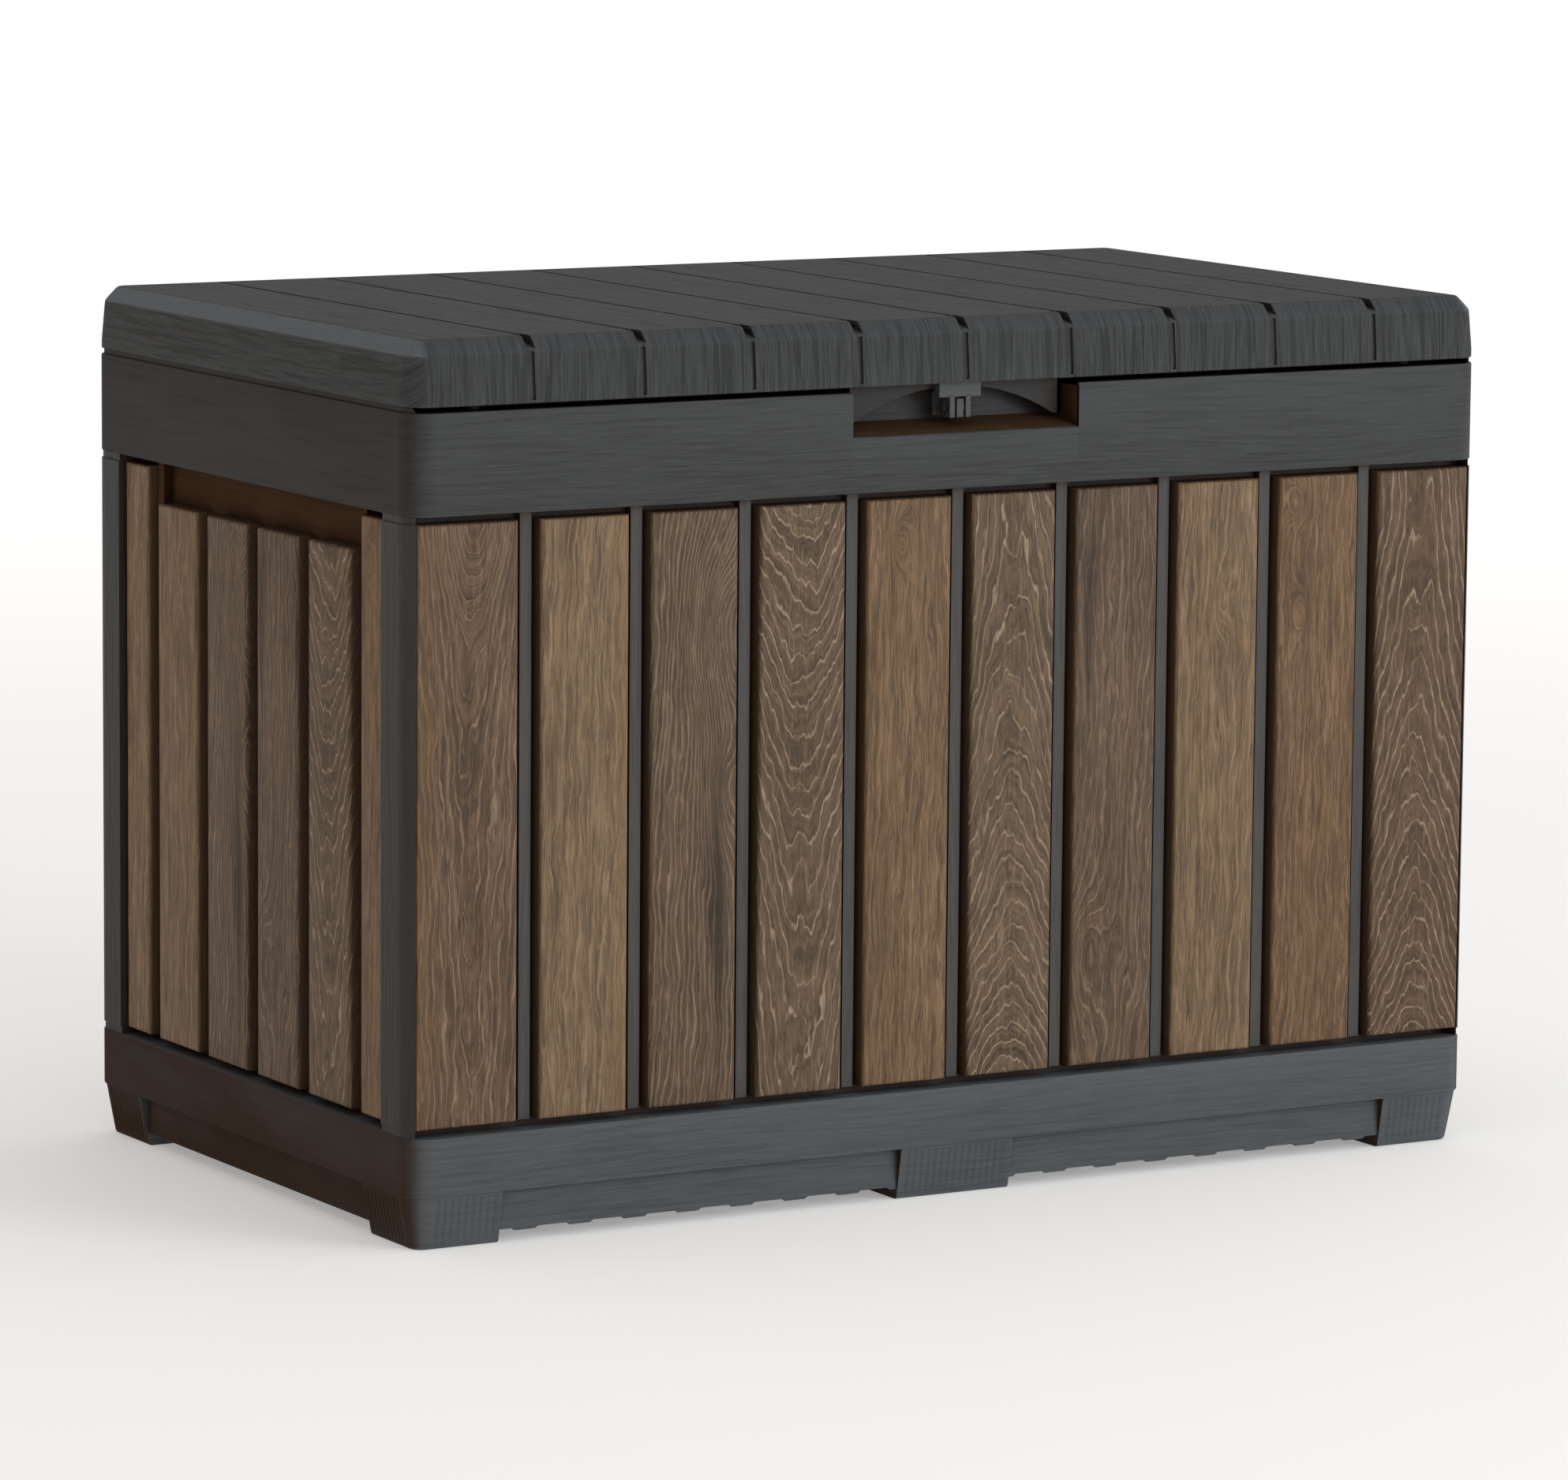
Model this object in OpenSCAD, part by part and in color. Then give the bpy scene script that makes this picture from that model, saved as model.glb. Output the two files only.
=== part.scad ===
// Deck storage box: a moulded resin chest with wood-look planks on its walls
// and a flat planked lid hinged along the back. Millimetres, +Z up, standing
// on Z = 0 and centred on X and Y, with the front facing -Y.

/* [Box] */
// Overall width, side to side
box_w = 1080; // [960:10:1200]
// Overall depth, front to back
box_d = 620; // [560:10:700]
// Overall height with the lid shut
box_h = 770; // [700:10:840]
// Radius of the upright outer corners
corner_r = 23; // [20:1:26]
// Wall thickness of the mouldings
wall = 3; // [2.5:0.5:3.5]

/* [Base] */
// Height of the feet under the base band
foot_h = 45; // [38:1:55]
// Height of the base band
band_h = 52; // [45:1:60]
// Width of each corner foot along either wall
corner_foot_w = 90; // [70:5:110]
// Width of the middle foot on the front and the back
middle_foot_w = 114; // [90:2:140]

/* [Rim and lid] */
// Height of the rim round the top of the walls
rim_h = 87; // [80:1:95]
// Height of the lid
lid_h = 55.5; // [54:0.5:60]
// Shadow gap between the lid and the rim
lid_gap = 4.7; // [4:0.1:6]
// Depth of the grooves between the planks of the lid
groove_depth = 1.8; // [1:0.1:2]

/* [Planks] */
// Gap between neighbouring wall planks
plank_gap = 22; // [16:1:26]
// How far the plank faces are set back from the rim
plank_inset = 5; // [4:0.5:6]
// Depth of a plank, front face to back edge
plank_t = 18; // [16:0.5:18]
// Wall thickness of a hollow-backed plank
plank_wall = 2.5; // [2:0.5:3]
// Height of the dark seam above and below the planks
seam = 6.5; // [5:0.5:8]
// Width of the resin batten that shows between two planks
batten_w = 11; // [8:0.5:13]
// How far the battens are set back from the plank faces
batten_back = 9; // [7:0.5:11]

/* [Grips and lock] */
// Half width of the finger recess under the front edge of the lid
scoop_half = 114; // [100:2:130]
// Depth of that recess into the rim
scoop_depth = 38; // [34:1:40]
// Height of the hand-hold on each end, under the rim
handhold_h = 38; // [32:1:44]
// Radius of the padlock hole
padlock_r = 4; // [3.5:0.5:4.5]

/* [Hinges] */
// Radius of a hinge pin
pin_r = 2.5; // [2:0.5:3]
// Radius of the hinge knuckles
knuckle_r = 6.5; // [6:0.5:6.5]
// Distance of the outer hinges from the middle one
hinge_spread = 370; // [300:10:400]

/* [Hidden] */
front_count = 10;
end_count = 6;
$fn = 64;
eps = 0.1;

half_w = box_w / 2;
half_d = box_d / 2;
front_pitch = (box_w - 20) / front_count;
end_pitch = (box_d - 26) / end_count;
end_low = 2;
end_high = end_count - 1;

base_top = foot_h + band_h;
floor_z = foot_h + 15;
lid_z = box_h - lid_h;
rim_top = lid_z - lid_gap;
rim_low = rim_top - rim_h;
plank_low = base_top + seam;
plank_high = rim_low - seam;
panel_high = rim_low + 32;
handhold_z = rim_low - handhold_h;

// Insets are measured inwards from the outer face of the box.
field_in = plank_inset + plank_t;
batten_in = plank_inset + batten_back;
seam_in = 1.2;
rib_in = 31.5;
liner_out = 32;
liner_in = 35;
post_w = 53;
front_edge = half_w - corner_r + sqrt(pow(corner_r, 2) - pow(corner_r - plank_inset, 2));
end_edge = half_d - post_w - 4;
handhold_half = 2 * end_pitch - plank_gap / 2;

lid_draft = 3.5;
lid_shoulder = 13;
lid_bevel = 15;

hinge_y = half_d - 7;
hinge_z = rim_top + 2.4;
knuckle_w = 22.6;
knuckle_gap = 0.6;
leaf_half = 1.5 * knuckle_w + knuckle_gap;
rebate_in = 15;
rebate_z = rim_top - 10.8;
screw_r = 2;
lid_leaf_screws = [hinge_z + 16, hinge_z + 31];
box_leaf_screws = [rebate_z - 27, rebate_z - 12];
hinge_x = [-hinge_spread, 0, hinge_spread];

lock_y = 18;
lock_z = rim_top - 18.3;
apron_out = 22;
liner_z = lid_z + 1.6;

resin = "dimgray";
wood = "tan";
steel = "silver";

// ---- Shared shapes ----

// Rounded outline of the box, set in from its outer faces.
module outline(inset) {
    w = box_w - 2 * inset;
    d = box_d - 2 * inset;
    r = max(corner_r - inset, 1);
    square([w - 2 * r, d], center = true);
    square([w, d - 2 * r], center = true);
    for (x = [-1, 1], y = [-1, 1])
        translate([x * (w / 2 - r), y * (d / 2 - r)])
            circle(r);
}

module slab(inset, z0, z1) {
    translate([0, 0, z0])
        linear_extrude(z1 - z0)
            outline(inset);
}

module ring(outer, inner, z0, z1) {
    difference() {
        slab(outer, z0, z1);
        slab(inner, z0 - 1, z1 + 1);
    }
}

module block(from, to) {
    translate(from)
        cube(to - from);
}

// A profile drawn in Y and Z, run along X from -length / 2 to length / 2.
module along_x(length) {
    translate([-length / 2, 0, 0])
        rotate([90, 0, 90])
            linear_extrude(length)
                children();
}

// A profile drawn in X and Z, run along Y from -length / 2 to length / 2.
module along_y(length) {
    translate([0, length / 2, 0])
        rotate([90, 0, 0])
            linear_extrude(length)
                children();
}

// Wall coordinates: X along the wall, Y inwards from the outer face, Z up.
module at_front() {
    translate([0, -half_d, 0])
        children();
}

module at_back() {
    rotate(180)
        at_front()
            children();
}

module at_left() {
    translate([-half_w, 0, 0])
        rotate(-90)
            children();
}

module at_right() {
    rotate(180)
        at_left()
            children();
}

// ---- Base ----

// Block with four sloping sides that narrows downwards to the feet.
module foot_taper(inset) {
    top_in = 2 + inset;
    low_in = 10 + inset;
    intersection() {
        along_x(box_w)
            polygon([[low_in - half_d, 0], [half_d - low_in, 0],
                     [half_d - top_in, foot_h], [half_d - top_in, floor_z],
                     [top_in - half_d, floor_z], [top_in - half_d, foot_h]]);
        along_y(box_d)
            polygon([[low_in - half_w, 0], [half_w - low_in, 0],
                     [half_w - top_in, foot_h], [half_w - top_in, floor_z],
                     [top_in - half_w, floor_z], [top_in - half_w, foot_h]]);
        slab(top_in, 0, floor_z);
    }
}

// Where the feet stand, each outline shrunk by the given margin.
module foot_places(margin, z0, z1) {
    reach = corner_foot_w - margin;
    depth = 60 - margin;
    for (x = [-1, 1], y = [-1, 1])
        scale([x, y, 1])
            block([half_w - reach, half_d - reach, z0], [half_w, half_d, z1]);
    for (y = [-1, 1])
        scale([1, y, 1])
            block([margin - middle_foot_w / 2, half_d - depth, z0],
                  [middle_foot_w / 2 - margin, half_d, z1]);
}

module base_frame() {
    foot_wall = 4;
    skirt_in = 10;
    skirt_low = 11;
    shelf_in = 60;
    color(resin) {
        ring(0, wall, foot_h, base_top);
        ring(0, field_in - 0.5, base_top - wall, base_top);
        ring(0, shelf_in, floor_z - wall, floor_z);
        ring(liner_out, liner_in, floor_z - wall, floor_z + 20);
        difference() {
            union() {
                ring(skirt_in, skirt_in + wall, skirt_low, floor_z - wall);
                intersection() {
                    foot_taper(0);
                    foot_places(0, 0, floor_z - wall);
                }
            }
            intersection() {
                foot_taper(foot_wall);
                foot_places(foot_wall, -1, floor_z - wall - foot_wall);
            }
        }
    }
}

module floor_panel() {
    edge_in = liner_in + 0.3;
    rib_edge = 62;
    rib_low = floor_z - 14;
    color(resin) {
        slab(edge_in, floor_z + eps, floor_z + 4);
        for (x = [-2:2])
            block([x * 2 * front_pitch - wall / 2, rib_edge - half_d, rib_low],
                  [x * 2 * front_pitch + wall / 2, half_d - rib_edge, floor_z + 1]);
        for (y = [-1, 1])
            block([rib_edge - half_w, y * end_pitch - wall / 2, rib_low],
                  [half_w - rib_edge, y * end_pitch + wall / 2, floor_z + 1]);
    }
}

// ---- Wall panels and posts ----

// Flat skin with upright stiffening ribs on its inner side and, on its outer
// side, the battens that show between the planks and run up to the rim.
module ribbed_wall(half_u, pitch, ribs) {
    skin_back = field_in + wall;
    block([-half_u, field_in, floor_z], [half_u, skin_back, panel_high]);
    for (u = [for (k = [-ribs:ribs]) k * pitch]) {
        block([u - wall / 2, skin_back - 1, floor_z], [u + wall / 2, rib_in, panel_high]);
        block([u - batten_w / 2, batten_in, plank_low],
              [u + batten_w / 2, field_in + 1, rim_low - eps]);
    }
    for (s = [-1, 1])
        scale([s, 1, 1])
            block([half_u - wall, skin_back - 1, floor_z], [half_u, rib_in, panel_high]);
}

module long_panel() {
    color(resin)
        ribbed_wall(half_w - liner_in, front_pitch, 4);
}

// End wall, open at the top for the hand-hold's back plate.
module end_panel() {
    reach = handhold_half + wall + eps;
    color(resin)
        difference() {
            ribbed_wall(half_d - post_w, end_pitch, 2);
            block([-reach, 0, handhold_z - wall - eps], [reach, half_w, box_h]);
        }
}

// Back of a hand-hold: a flat plate level with the wall's skin, above the four
// middle planks of an end. Fingers reach it and curl up behind the rim.
module grip_plate() {
    reach = handhold_half + wall;
    color(resin)
        block([-reach, field_in, handhold_z - wall], [reach, field_in + wall, panel_high]);
}

// Hollow corner post, drawn at the front left corner.
module corner_post() {
    side_in = liner_in - eps;
    module footprint() {
        translate([-half_w, -half_d])
            square([side_in, post_w]);
    }
    module plank_clearance() {
        translate([-front_edge - 0.2, -half_d - 1])
            square([box_w, field_in + 1]);
    }
    module shaft(inset, z0, z1) {
        translate([0, 0, z0])
            linear_extrude(z1 - z0)
                difference() {
                    intersection() {
                        outline(inset);
                        footprint();
                    }
                    plank_clearance();
                }
    }
    color(resin)
        difference() {
            union() {
                shaft(0, plank_low, plank_high);
                shaft(seam_in, base_top + eps, rim_low - eps);
                block([field_in - half_w, field_in - half_d, floor_z],
                      [liner_out - 0.2 - half_w, post_w - half_d, panel_high]);
            }
            block([2 * wall - half_w, field_in + wall - half_d, floor_z - 1],
                  [liner_out - wall - half_w, post_w - wall - half_d, panel_high + 1]);
        }
}

// ---- Planks ----

// Outer ends of plank i in a row: the first and last reach the row's edge.
function plank_start(i, count, pitch, edge) =
    i == 1 ? -edge : (i - 1 - count / 2) * pitch + plank_gap / 2;
function plank_end(i, count, pitch, edge) =
    i == count ? edge : (i - count / 2) * pitch - plank_gap / 2;

// Hollow-backed plank with chamfered front edges, from u0 to u1 along a wall.
module plank(u0, u1, z0, z1) {
    w = u1 - u0;
    h = z1 - z0;
    chamfer = 1.5;
    color(wood)
        translate([u0, plank_inset, z0])
            difference() {
                intersection() {
                    linear_extrude(h)
                        polygon([[0, plank_t], [0, chamfer], [chamfer, 0],
                                 [w - chamfer, 0], [w, chamfer], [w, plank_t]]);
                    rotate([90, 0, 90])
                        linear_extrude(w)
                            polygon([[plank_t, 0], [chamfer, 0], [0, chamfer],
                                     [0, h - chamfer], [chamfer, h], [plank_t, h]]);
                }
                block([plank_wall, plank_wall, plank_wall],
                      [w - plank_wall, plank_t + 1, h - plank_wall]);
            }
}

module long_plank(i) {
    plank(plank_start(i, front_count, front_pitch, front_edge),
          plank_end(i, front_count, front_pitch, front_edge),
          plank_low, plank_high);
}

// The middle planks of an end wall stop below the hand-hold.
module end_plank(i) {
    under_handhold = i >= end_low && i <= end_high;
    plank(plank_start(i, end_count, end_pitch, end_edge),
          plank_end(i, end_count, end_pitch, end_edge),
          plank_low, under_handhold ? handhold_z : plank_high);
}

// ---- Rim ----

// Finger recess in wall coordinates; its floor rises towards the back.
module scoop(half, margin) {
    rise = 9;
    low = rim_top - rim_h / 2 + 5 - margin;
    along_x(2 * half)
        polygon([[-2 * (wall - margin), low], [-2 * (wall - margin), rim_top + wall - margin],
                 [scoop_depth + margin, rim_top + wall - margin],
                 [scoop_depth + margin, low + rise]]);
}

module rim_ring() {
    pad_half = leaf_half + 5;
    pad_back = 10;
    difference() {
        union() {
            ring(0, wall, rim_low, rim_top);
            ring(0, liner_in, rim_top - wall, rim_top);
            ring(liner_out, liner_in, rim_low + 17, rim_top);
            ring(0, field_in - eps, rim_low, rim_low + wall);
            intersection() {
                slab(0, rebate_z - wall, rim_top);
                at_back()
                    block([-box_w, 0, 0], [box_w, rebate_in + wall, box_h]);
            }
            intersection() {
                slab(0, rim_low, rim_top);
                at_front()
                    scoop(scoop_half + wall, wall);
            }
            for (x = hinge_x)
                translate([x, 0, 0])
                    at_back()
                        block([-pad_half, 0, rebate_z - 42], [pad_half, pad_back, rebate_z]);
        }
        at_back()
            block([-box_w, -1, rebate_z], [box_w, rebate_in, box_h]);
        at_front()
            scoop(scoop_half, 0);
        for (side = [0, 180])
            rotate(side)
                at_left()
                    block([-handhold_half, wall, rim_low - 1],
                          [handhold_half, field_in + 1, rim_low + wall + 1]);
        for (x = hinge_x)
            translate([x, 0, 0])
                at_back() {
                    block([-leaf_half - 1, -1, rebate_z - 39],
                          [leaf_half + 1, 3, rebate_z + 1]);
                    box_leaf_holes(0, pad_back + 1, screw_r);
                }
    }
}

// The rim is four bars, mitred at the corners.
module long_rim() {
    color(resin)
        intersection() {
            rim_ring();
            linear_extrude(box_h)
                polygon([[-half_w - 1, -half_d - 1], [half_w + 1, -half_d - 1],
                         [half_w - half_d, 0], [half_d - half_w, 0]]);
        }
}

module back_bar() {
    color(resin)
        intersection() {
            rim_ring();
            linear_extrude(box_h)
                polygon([[-half_w - 1, half_d + 1], [half_w + 1, half_d + 1],
                         [half_w - half_d, 0], [half_d - half_w, 0]]);
        }
}

// Low bead along an end bar, just under the lid's edge, which hides the gap to it.
module end_bead() {
    bead_in = 1.5;
    bead_clear = 1.5;
    bead_end = half_d - rebate_in - 1;
    intersection() {
        ring(bead_in, bead_in + 2.5, rim_top - 1, lid_z - bead_clear);
        block([-box_w, -box_d, 0], [box_w, bead_end, box_h]);
    }
}

module end_rim(side) {
    color(resin)
        intersection() {
            union() {
                rim_ring();
                end_bead();
            }
            scale([side, 1, 1])
                linear_extrude(box_h)
                    polygon([[half_w + 1, -half_d - 1], [half_w + 1, half_d + 1],
                             [half_w - half_d, 0]]);
        }
}

// ---- Lid ----

// Solid outer form of the lid, set in by the given amount on every face.
module lid_form(inset) {
    shoulder_z = box_h - lid_shoulder;
    low = lid_z - (inset > 0 ? 1 : 0);
    high = box_h - inset;
    module profile(half) {
        polygon([[inset - half, low], [half - inset, low],
                 [half - inset - lid_draft, shoulder_z - inset / 2],
                 [half - inset / 2 - lid_bevel, high], [inset / 2 + lid_bevel - half, high],
                 [inset + lid_draft - half, shoulder_z - inset / 2]]);
    }
    intersection() {
        along_x(box_w)
            profile(half_d);
        along_y(box_d)
            profile(half_w);
        slab(inset, low, high);
    }
}

// Where a groove of the lid's top runs out: a chute sunk through the front bevel,
// or with a margin the thicker wall under it.
module groove_mouths(margin) {
    chute_w = 8;
    shoulder_z = box_h - lid_shoulder;
    for (k = [1 - front_count / 2:front_count / 2 - 1])
        translate([k * front_pitch, -half_d, 0])
            along_x(chute_w + 2 * margin)
                polygon([[-1, shoulder_z + 3 - margin], [18, shoulder_z + 6 - margin],
                         [28 + margin, box_h - 5 - margin], [33 + margin, box_h + 1],
                         [-1, box_h + 1]]);
}

module lid_shell() {
    notch_half = leaf_half + 2.5;
    groove_w = 3;
    color(resin)
        difference() {
            union() {
                difference() {
                    lid_form(0);
                    lid_form(wall);
                }
                intersection() {
                    lid_form(0);
                    groove_mouths(wall);
                }
                intersection() {
                    lid_form(0.5);
                    for (x = hinge_x)
                        translate([x, hinge_y + 0.5, hinge_z + 10])
                            block([-leaf_half, 0, 0], [leaf_half, 5, 30]);
                }
            }
            difference() {
                for (k = [1 - front_count / 2:front_count / 2 - 1])
                    block([k * front_pitch - groove_w / 2, -half_d - 1, lid_z - 1],
                          [k * front_pitch + groove_w / 2, half_d + 1, box_h + 1]);
                lid_form(groove_depth);
            }
            groove_mouths(0);
            for (x = hinge_x)
                translate([x, 0, 0]) {
                    block([-notch_half, hinge_y - 3, lid_z - 1],
                          [notch_half, half_d + 1, hinge_z + 9.8]);
                    lid_leaf_holes(hinge_y, 3.5, screw_r);
                }
        }
}

// Underside of the lid: a pan with ribs, a drip lip and the arched front apron.
module lid_liner() {
    lip_in = 44;
    pan_t = 2.5;
    rib_low = lid_z - 10.6;
    apron_half = 105;
    apron_low = lid_z - 32.6;
    arch_r = 195;
    arch_top = lid_z - 4.6;
    color(resin)
        difference() {
            union() {
                slab(6, liner_z, liner_z + pan_t);
                ring(lip_in, lip_in + wall, rib_low - 4, liner_z + 1);
                for (k = [1 - front_count / 2:front_count / 2 - 1])
                    block([k * front_pitch - wall / 2, lip_in + 1 - half_d, rib_low],
                          [k * front_pitch + wall / 2, half_d - lip_in - 1, liner_z + 1]);
                at_front()
                    difference() {
                        block([-apron_half, apron_out, apron_low],
                              [apron_half, apron_out + wall, liner_z + 1]);
                        translate([0, 0, arch_top - arch_r])
                            rotate([-90, 0, 0])
                                cylinder(r = arch_r, h = 100);
                    }
            }
            for (x = hinge_x)
                translate([x, 0, 0])
                    block([-leaf_half - 3, hinge_y - 9, liner_z - 1],
                          [leaf_half + 3, half_d, liner_z + pan_t + 1]);
            hasp_screw_places()
                translate([0, 0, liner_z - 1])
                    cylinder(r = screw_r, h = pan_t + 2);
        }
}

// Four soft pads that carry the shut lid on the rim.
module lid_buffers() {
    color("black")
        for (x = [-1, 1], y = [-1, 1])
            translate([x * (half_w - 70), y * (half_d - 25), rim_top + eps])
                cylinder(r = 6, h = liner_z - rim_top - eps);
}

// ---- Hinges ----

module lid_leaf_holes(y, length, r) {
    for (u = [-20, 20], z = lid_leaf_screws)
        translate([u, y, z])
            rotate([-90, 0, 0])
                cylinder(r = r, h = length);
}

module box_leaf_holes(y, length, r) {
    for (u = [-20, 20], z = box_leaf_screws)
        translate([u, y, z])
            rotate([-90, 0, 0])
                cylinder(r = r, h = length);
}

// Cylinder on the hinge line, from u0 to u1 along X.
module on_hinge_line(u0, u1, r) {
    translate([u0, hinge_y, hinge_z])
        rotate([0, 90, 0])
            cylinder(r = r, h = u1 - u0);
}

// Leaf screwed to the back of the rim; its two outer knuckles hold the pin.
module box_hinge_leaf(i) {
    inner = knuckle_w / 2 + knuckle_gap;
    face_in = 0.5;
    leaf_t = 2.5;
    color(steel)
        translate([hinge_x[i - 1], 0, 0])
            difference() {
                union() {
                    at_back()
                        block([-leaf_half, face_in, rebate_z - 38],
                              [leaf_half, face_in + leaf_t, hinge_z - knuckle_r - 1]);
                    for (s = [-1, 1])
                        scale([s, 1, 1]) {
                            on_hinge_line(inner, leaf_half, knuckle_r);
                            at_back()
                                block([-leaf_half, face_in, rebate_z - 1],
                                      [-inner, face_in + leaf_t, hinge_z]);
                        }
                }
                on_hinge_line(-box_w, box_w, pin_r + 0.02);
                at_back() {
                    box_leaf_holes(-1, 6, screw_r + 0.1);
                    box_leaf_holes(-1, 3.1, 2 * screw_r - 0.2);
                }
            }
}

// Leaf inside the lid; its middle knuckle turns on the pin.
module lid_hinge_leaf(i) {
    leaf_t = 2.5;
    color(steel)
        translate([hinge_x[i - 1], 0, 0])
            difference() {
                union() {
                    block([-leaf_half, hinge_y - 2, hinge_z + knuckle_r + 1],
                          [leaf_half, hinge_y - 2 + leaf_t, hinge_z + 38]);
                    block([-knuckle_w / 2, hinge_y - 2, hinge_z],
                          [knuckle_w / 2, hinge_y - 2 + leaf_t, hinge_z + knuckle_r + 2]);
                    on_hinge_line(-knuckle_w / 2, knuckle_w / 2, knuckle_r);
                }
                on_hinge_line(-box_w, box_w, pin_r + 0.06);
                lid_leaf_holes(hinge_y - 3, 6, screw_r + 0.1);
            }
}

module hinge_pin(i) {
    color(steel)
        translate([hinge_x[i - 1], 0, 0])
            on_hinge_line(-leaf_half, leaf_half, pin_r);
}

module box_hinge_screws() {
    color(steel)
        for (x = hinge_x)
            translate([x, 0, 0])
                at_back() {
                    box_leaf_holes(0.6, 9, screw_r);
                    box_leaf_holes(0.6, 1.5, 2 * screw_r - 0.4);
                }
}

module lid_hinge_screws() {
    color(steel)
        for (x = hinge_x)
            translate([x, 0, 0]) {
                lid_leaf_holes(hinge_y - 3, 6.3, screw_r);
                lid_leaf_holes(hinge_y - 3.8, 1.8, 2 * screw_r - 0.4);
            }
}

// ---- Lock ----

module padlock_hole() {
    translate([-box_w / 2, lock_y, lock_z])
        rotate([0, 90, 0])
            cylinder(r = padlock_r, h = box_w);
}

// Fin on the back wall of the finger recess.
module lock_eye() {
    fin_half = 3.5;
    color(resin)
        at_front()
            difference() {
                union() {
                    block([-14, scoop_depth - wall, lock_z - 8.5],
                          [14, scoop_depth, lock_z + 12]);
                    block([-fin_half, lock_y - 6.5, lock_z - 8.5],
                          [fin_half, scoop_depth, lock_z + 8]);
                }
                padlock_hole();
            }
}

module hasp_screw_places() {
    for (x = [-16, 16])
        translate([x, apron_out - 5 - half_d, 0])
            children();
}

// Bar under the front edge of the lid, with two fins that straddle the eye.
module lock_hasp() {
    bar_half = 21;
    bar_low = lid_z - 13.5;
    head_seat = 4;
    color(resin)
        difference() {
            at_front()
                difference() {
                    union() {
                        block([-bar_half, apron_out - 10, bar_low],
                              [bar_half, apron_out, liner_z]);
                        for (s = [-1, 1])
                            scale([s, 1, 1])
                                block([5.5, lock_y - 6.5, lock_z - 8.5],
                                      [10.5, lock_y + 6.5, bar_low + 1]);
                    }
                    padlock_hole();
                }
            hasp_screw_places() {
                translate([0, 0, bar_low - 1])
                    cylinder(r = screw_r + 0.1, h = 30);
                translate([0, 0, bar_low - 1])
                    cylinder(r = 3.8, h = head_seat + 1);
            }
        }
}

module hasp_screws() {
    head_z = lid_z - 12.5;
    color(steel)
        hasp_screw_places() {
            translate([0, 0, head_z])
                cylinder(r = screw_r, h = liner_z + 2.5 - head_z);
            translate([0, 0, head_z])
                cylinder(r = 3.6, h = 3);
        }
}

// ---- Assembly ----

base_frame();
floor_panel();
at_front() long_panel();  // front_panel
at_back() long_panel();  // back_panel
at_left() end_panel();  // left_panel
at_right() end_panel();  // right_panel
at_left() grip_plate();  // left_grip_plate
at_right() grip_plate();  // right_grip_plate
corner_post();  // front_left_post
mirror([1, 0, 0]) corner_post();  // front_right_post
mirror([0, 1, 0]) corner_post();  // back_left_post
rotate(180) corner_post();  // back_right_post
long_rim();  // front_rim
back_bar();  // back_rim
end_rim(-1);  // left_rim
end_rim(1);  // right_rim
for (i = [1:front_count])
    at_front() long_plank(i);
for (i = [1:end_count])
    at_left() end_plank(i);
for (i = [1:end_count])
    at_right() end_plank(i);
at_back() for (i = [1:front_count]) long_plank(i);  // back_planks
lock_eye();
box_hinge_screws();
lid_shell();
lid_liner();
lid_buffers();
lid_hinge_screws();
lock_hasp();
hasp_screws();
for (i = [1:3])
    box_hinge_leaf(i);
for (i = [1:3])
    lid_hinge_leaf(i);
for (i = [1:3])
    hinge_pin(i);
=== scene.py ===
"""Looks of the deck storage box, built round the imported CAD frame. Metres, +Z up, front facing -Y."""
import math

import bmesh
import bpy
from mathutils import Matrix, Vector


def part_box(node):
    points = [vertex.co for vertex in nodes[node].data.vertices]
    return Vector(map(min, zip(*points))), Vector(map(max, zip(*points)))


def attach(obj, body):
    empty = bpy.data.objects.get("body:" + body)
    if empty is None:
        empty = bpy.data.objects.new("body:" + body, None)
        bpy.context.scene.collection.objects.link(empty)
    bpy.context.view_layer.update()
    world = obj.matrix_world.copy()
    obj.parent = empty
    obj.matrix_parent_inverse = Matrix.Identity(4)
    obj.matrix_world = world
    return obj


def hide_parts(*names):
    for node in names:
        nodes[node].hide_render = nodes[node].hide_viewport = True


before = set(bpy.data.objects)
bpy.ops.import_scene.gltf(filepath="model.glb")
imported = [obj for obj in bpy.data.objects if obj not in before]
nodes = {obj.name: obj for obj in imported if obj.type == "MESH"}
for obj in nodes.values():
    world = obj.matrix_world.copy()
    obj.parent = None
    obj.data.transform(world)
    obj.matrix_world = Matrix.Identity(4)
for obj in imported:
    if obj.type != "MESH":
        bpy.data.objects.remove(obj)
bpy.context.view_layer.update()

MM = 0.001
SHARP = math.radians(35)

# ---- Sizes ----

# From the CAD nodes' boxes
lid_lo, lid_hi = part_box("lid_shell")
rim_lo, rim_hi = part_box("front_rim")
HALF_W = lid_hi.x
HALF_D = lid_hi.y
LID_LOW, LID_TOP = lid_lo.z, lid_hi.z
RIM_LOW, RIM_TOP = rim_lo.z, rim_hi.z
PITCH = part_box("front_plank_3")[0].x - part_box("front_plank_2")[0].x

# That no node's box gives
FOOT_TOP = 45 * MM
BAND_TOP = 97 * MM
FLOOR_Z = 60 * MM
CORNER_R = 23 * MM
SCOOP_HALF = 114 * MM
PLANKS = 10
# Insets of a plank's front and back faces, and the rounding of its front edges
PLANK_FRONT = 5 * MM
PLANK_BACK = 22.95 * MM
PLANK_ROUND = 3.2 * MM
GROOVE_DEPTH = 1.8 * MM
BEVEL_DROP = 13 * MM
# From the front face to the joint between the front bar and an end bar
RIM_JOINT = 36 * MM


# ---- Node helpers ----

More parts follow.
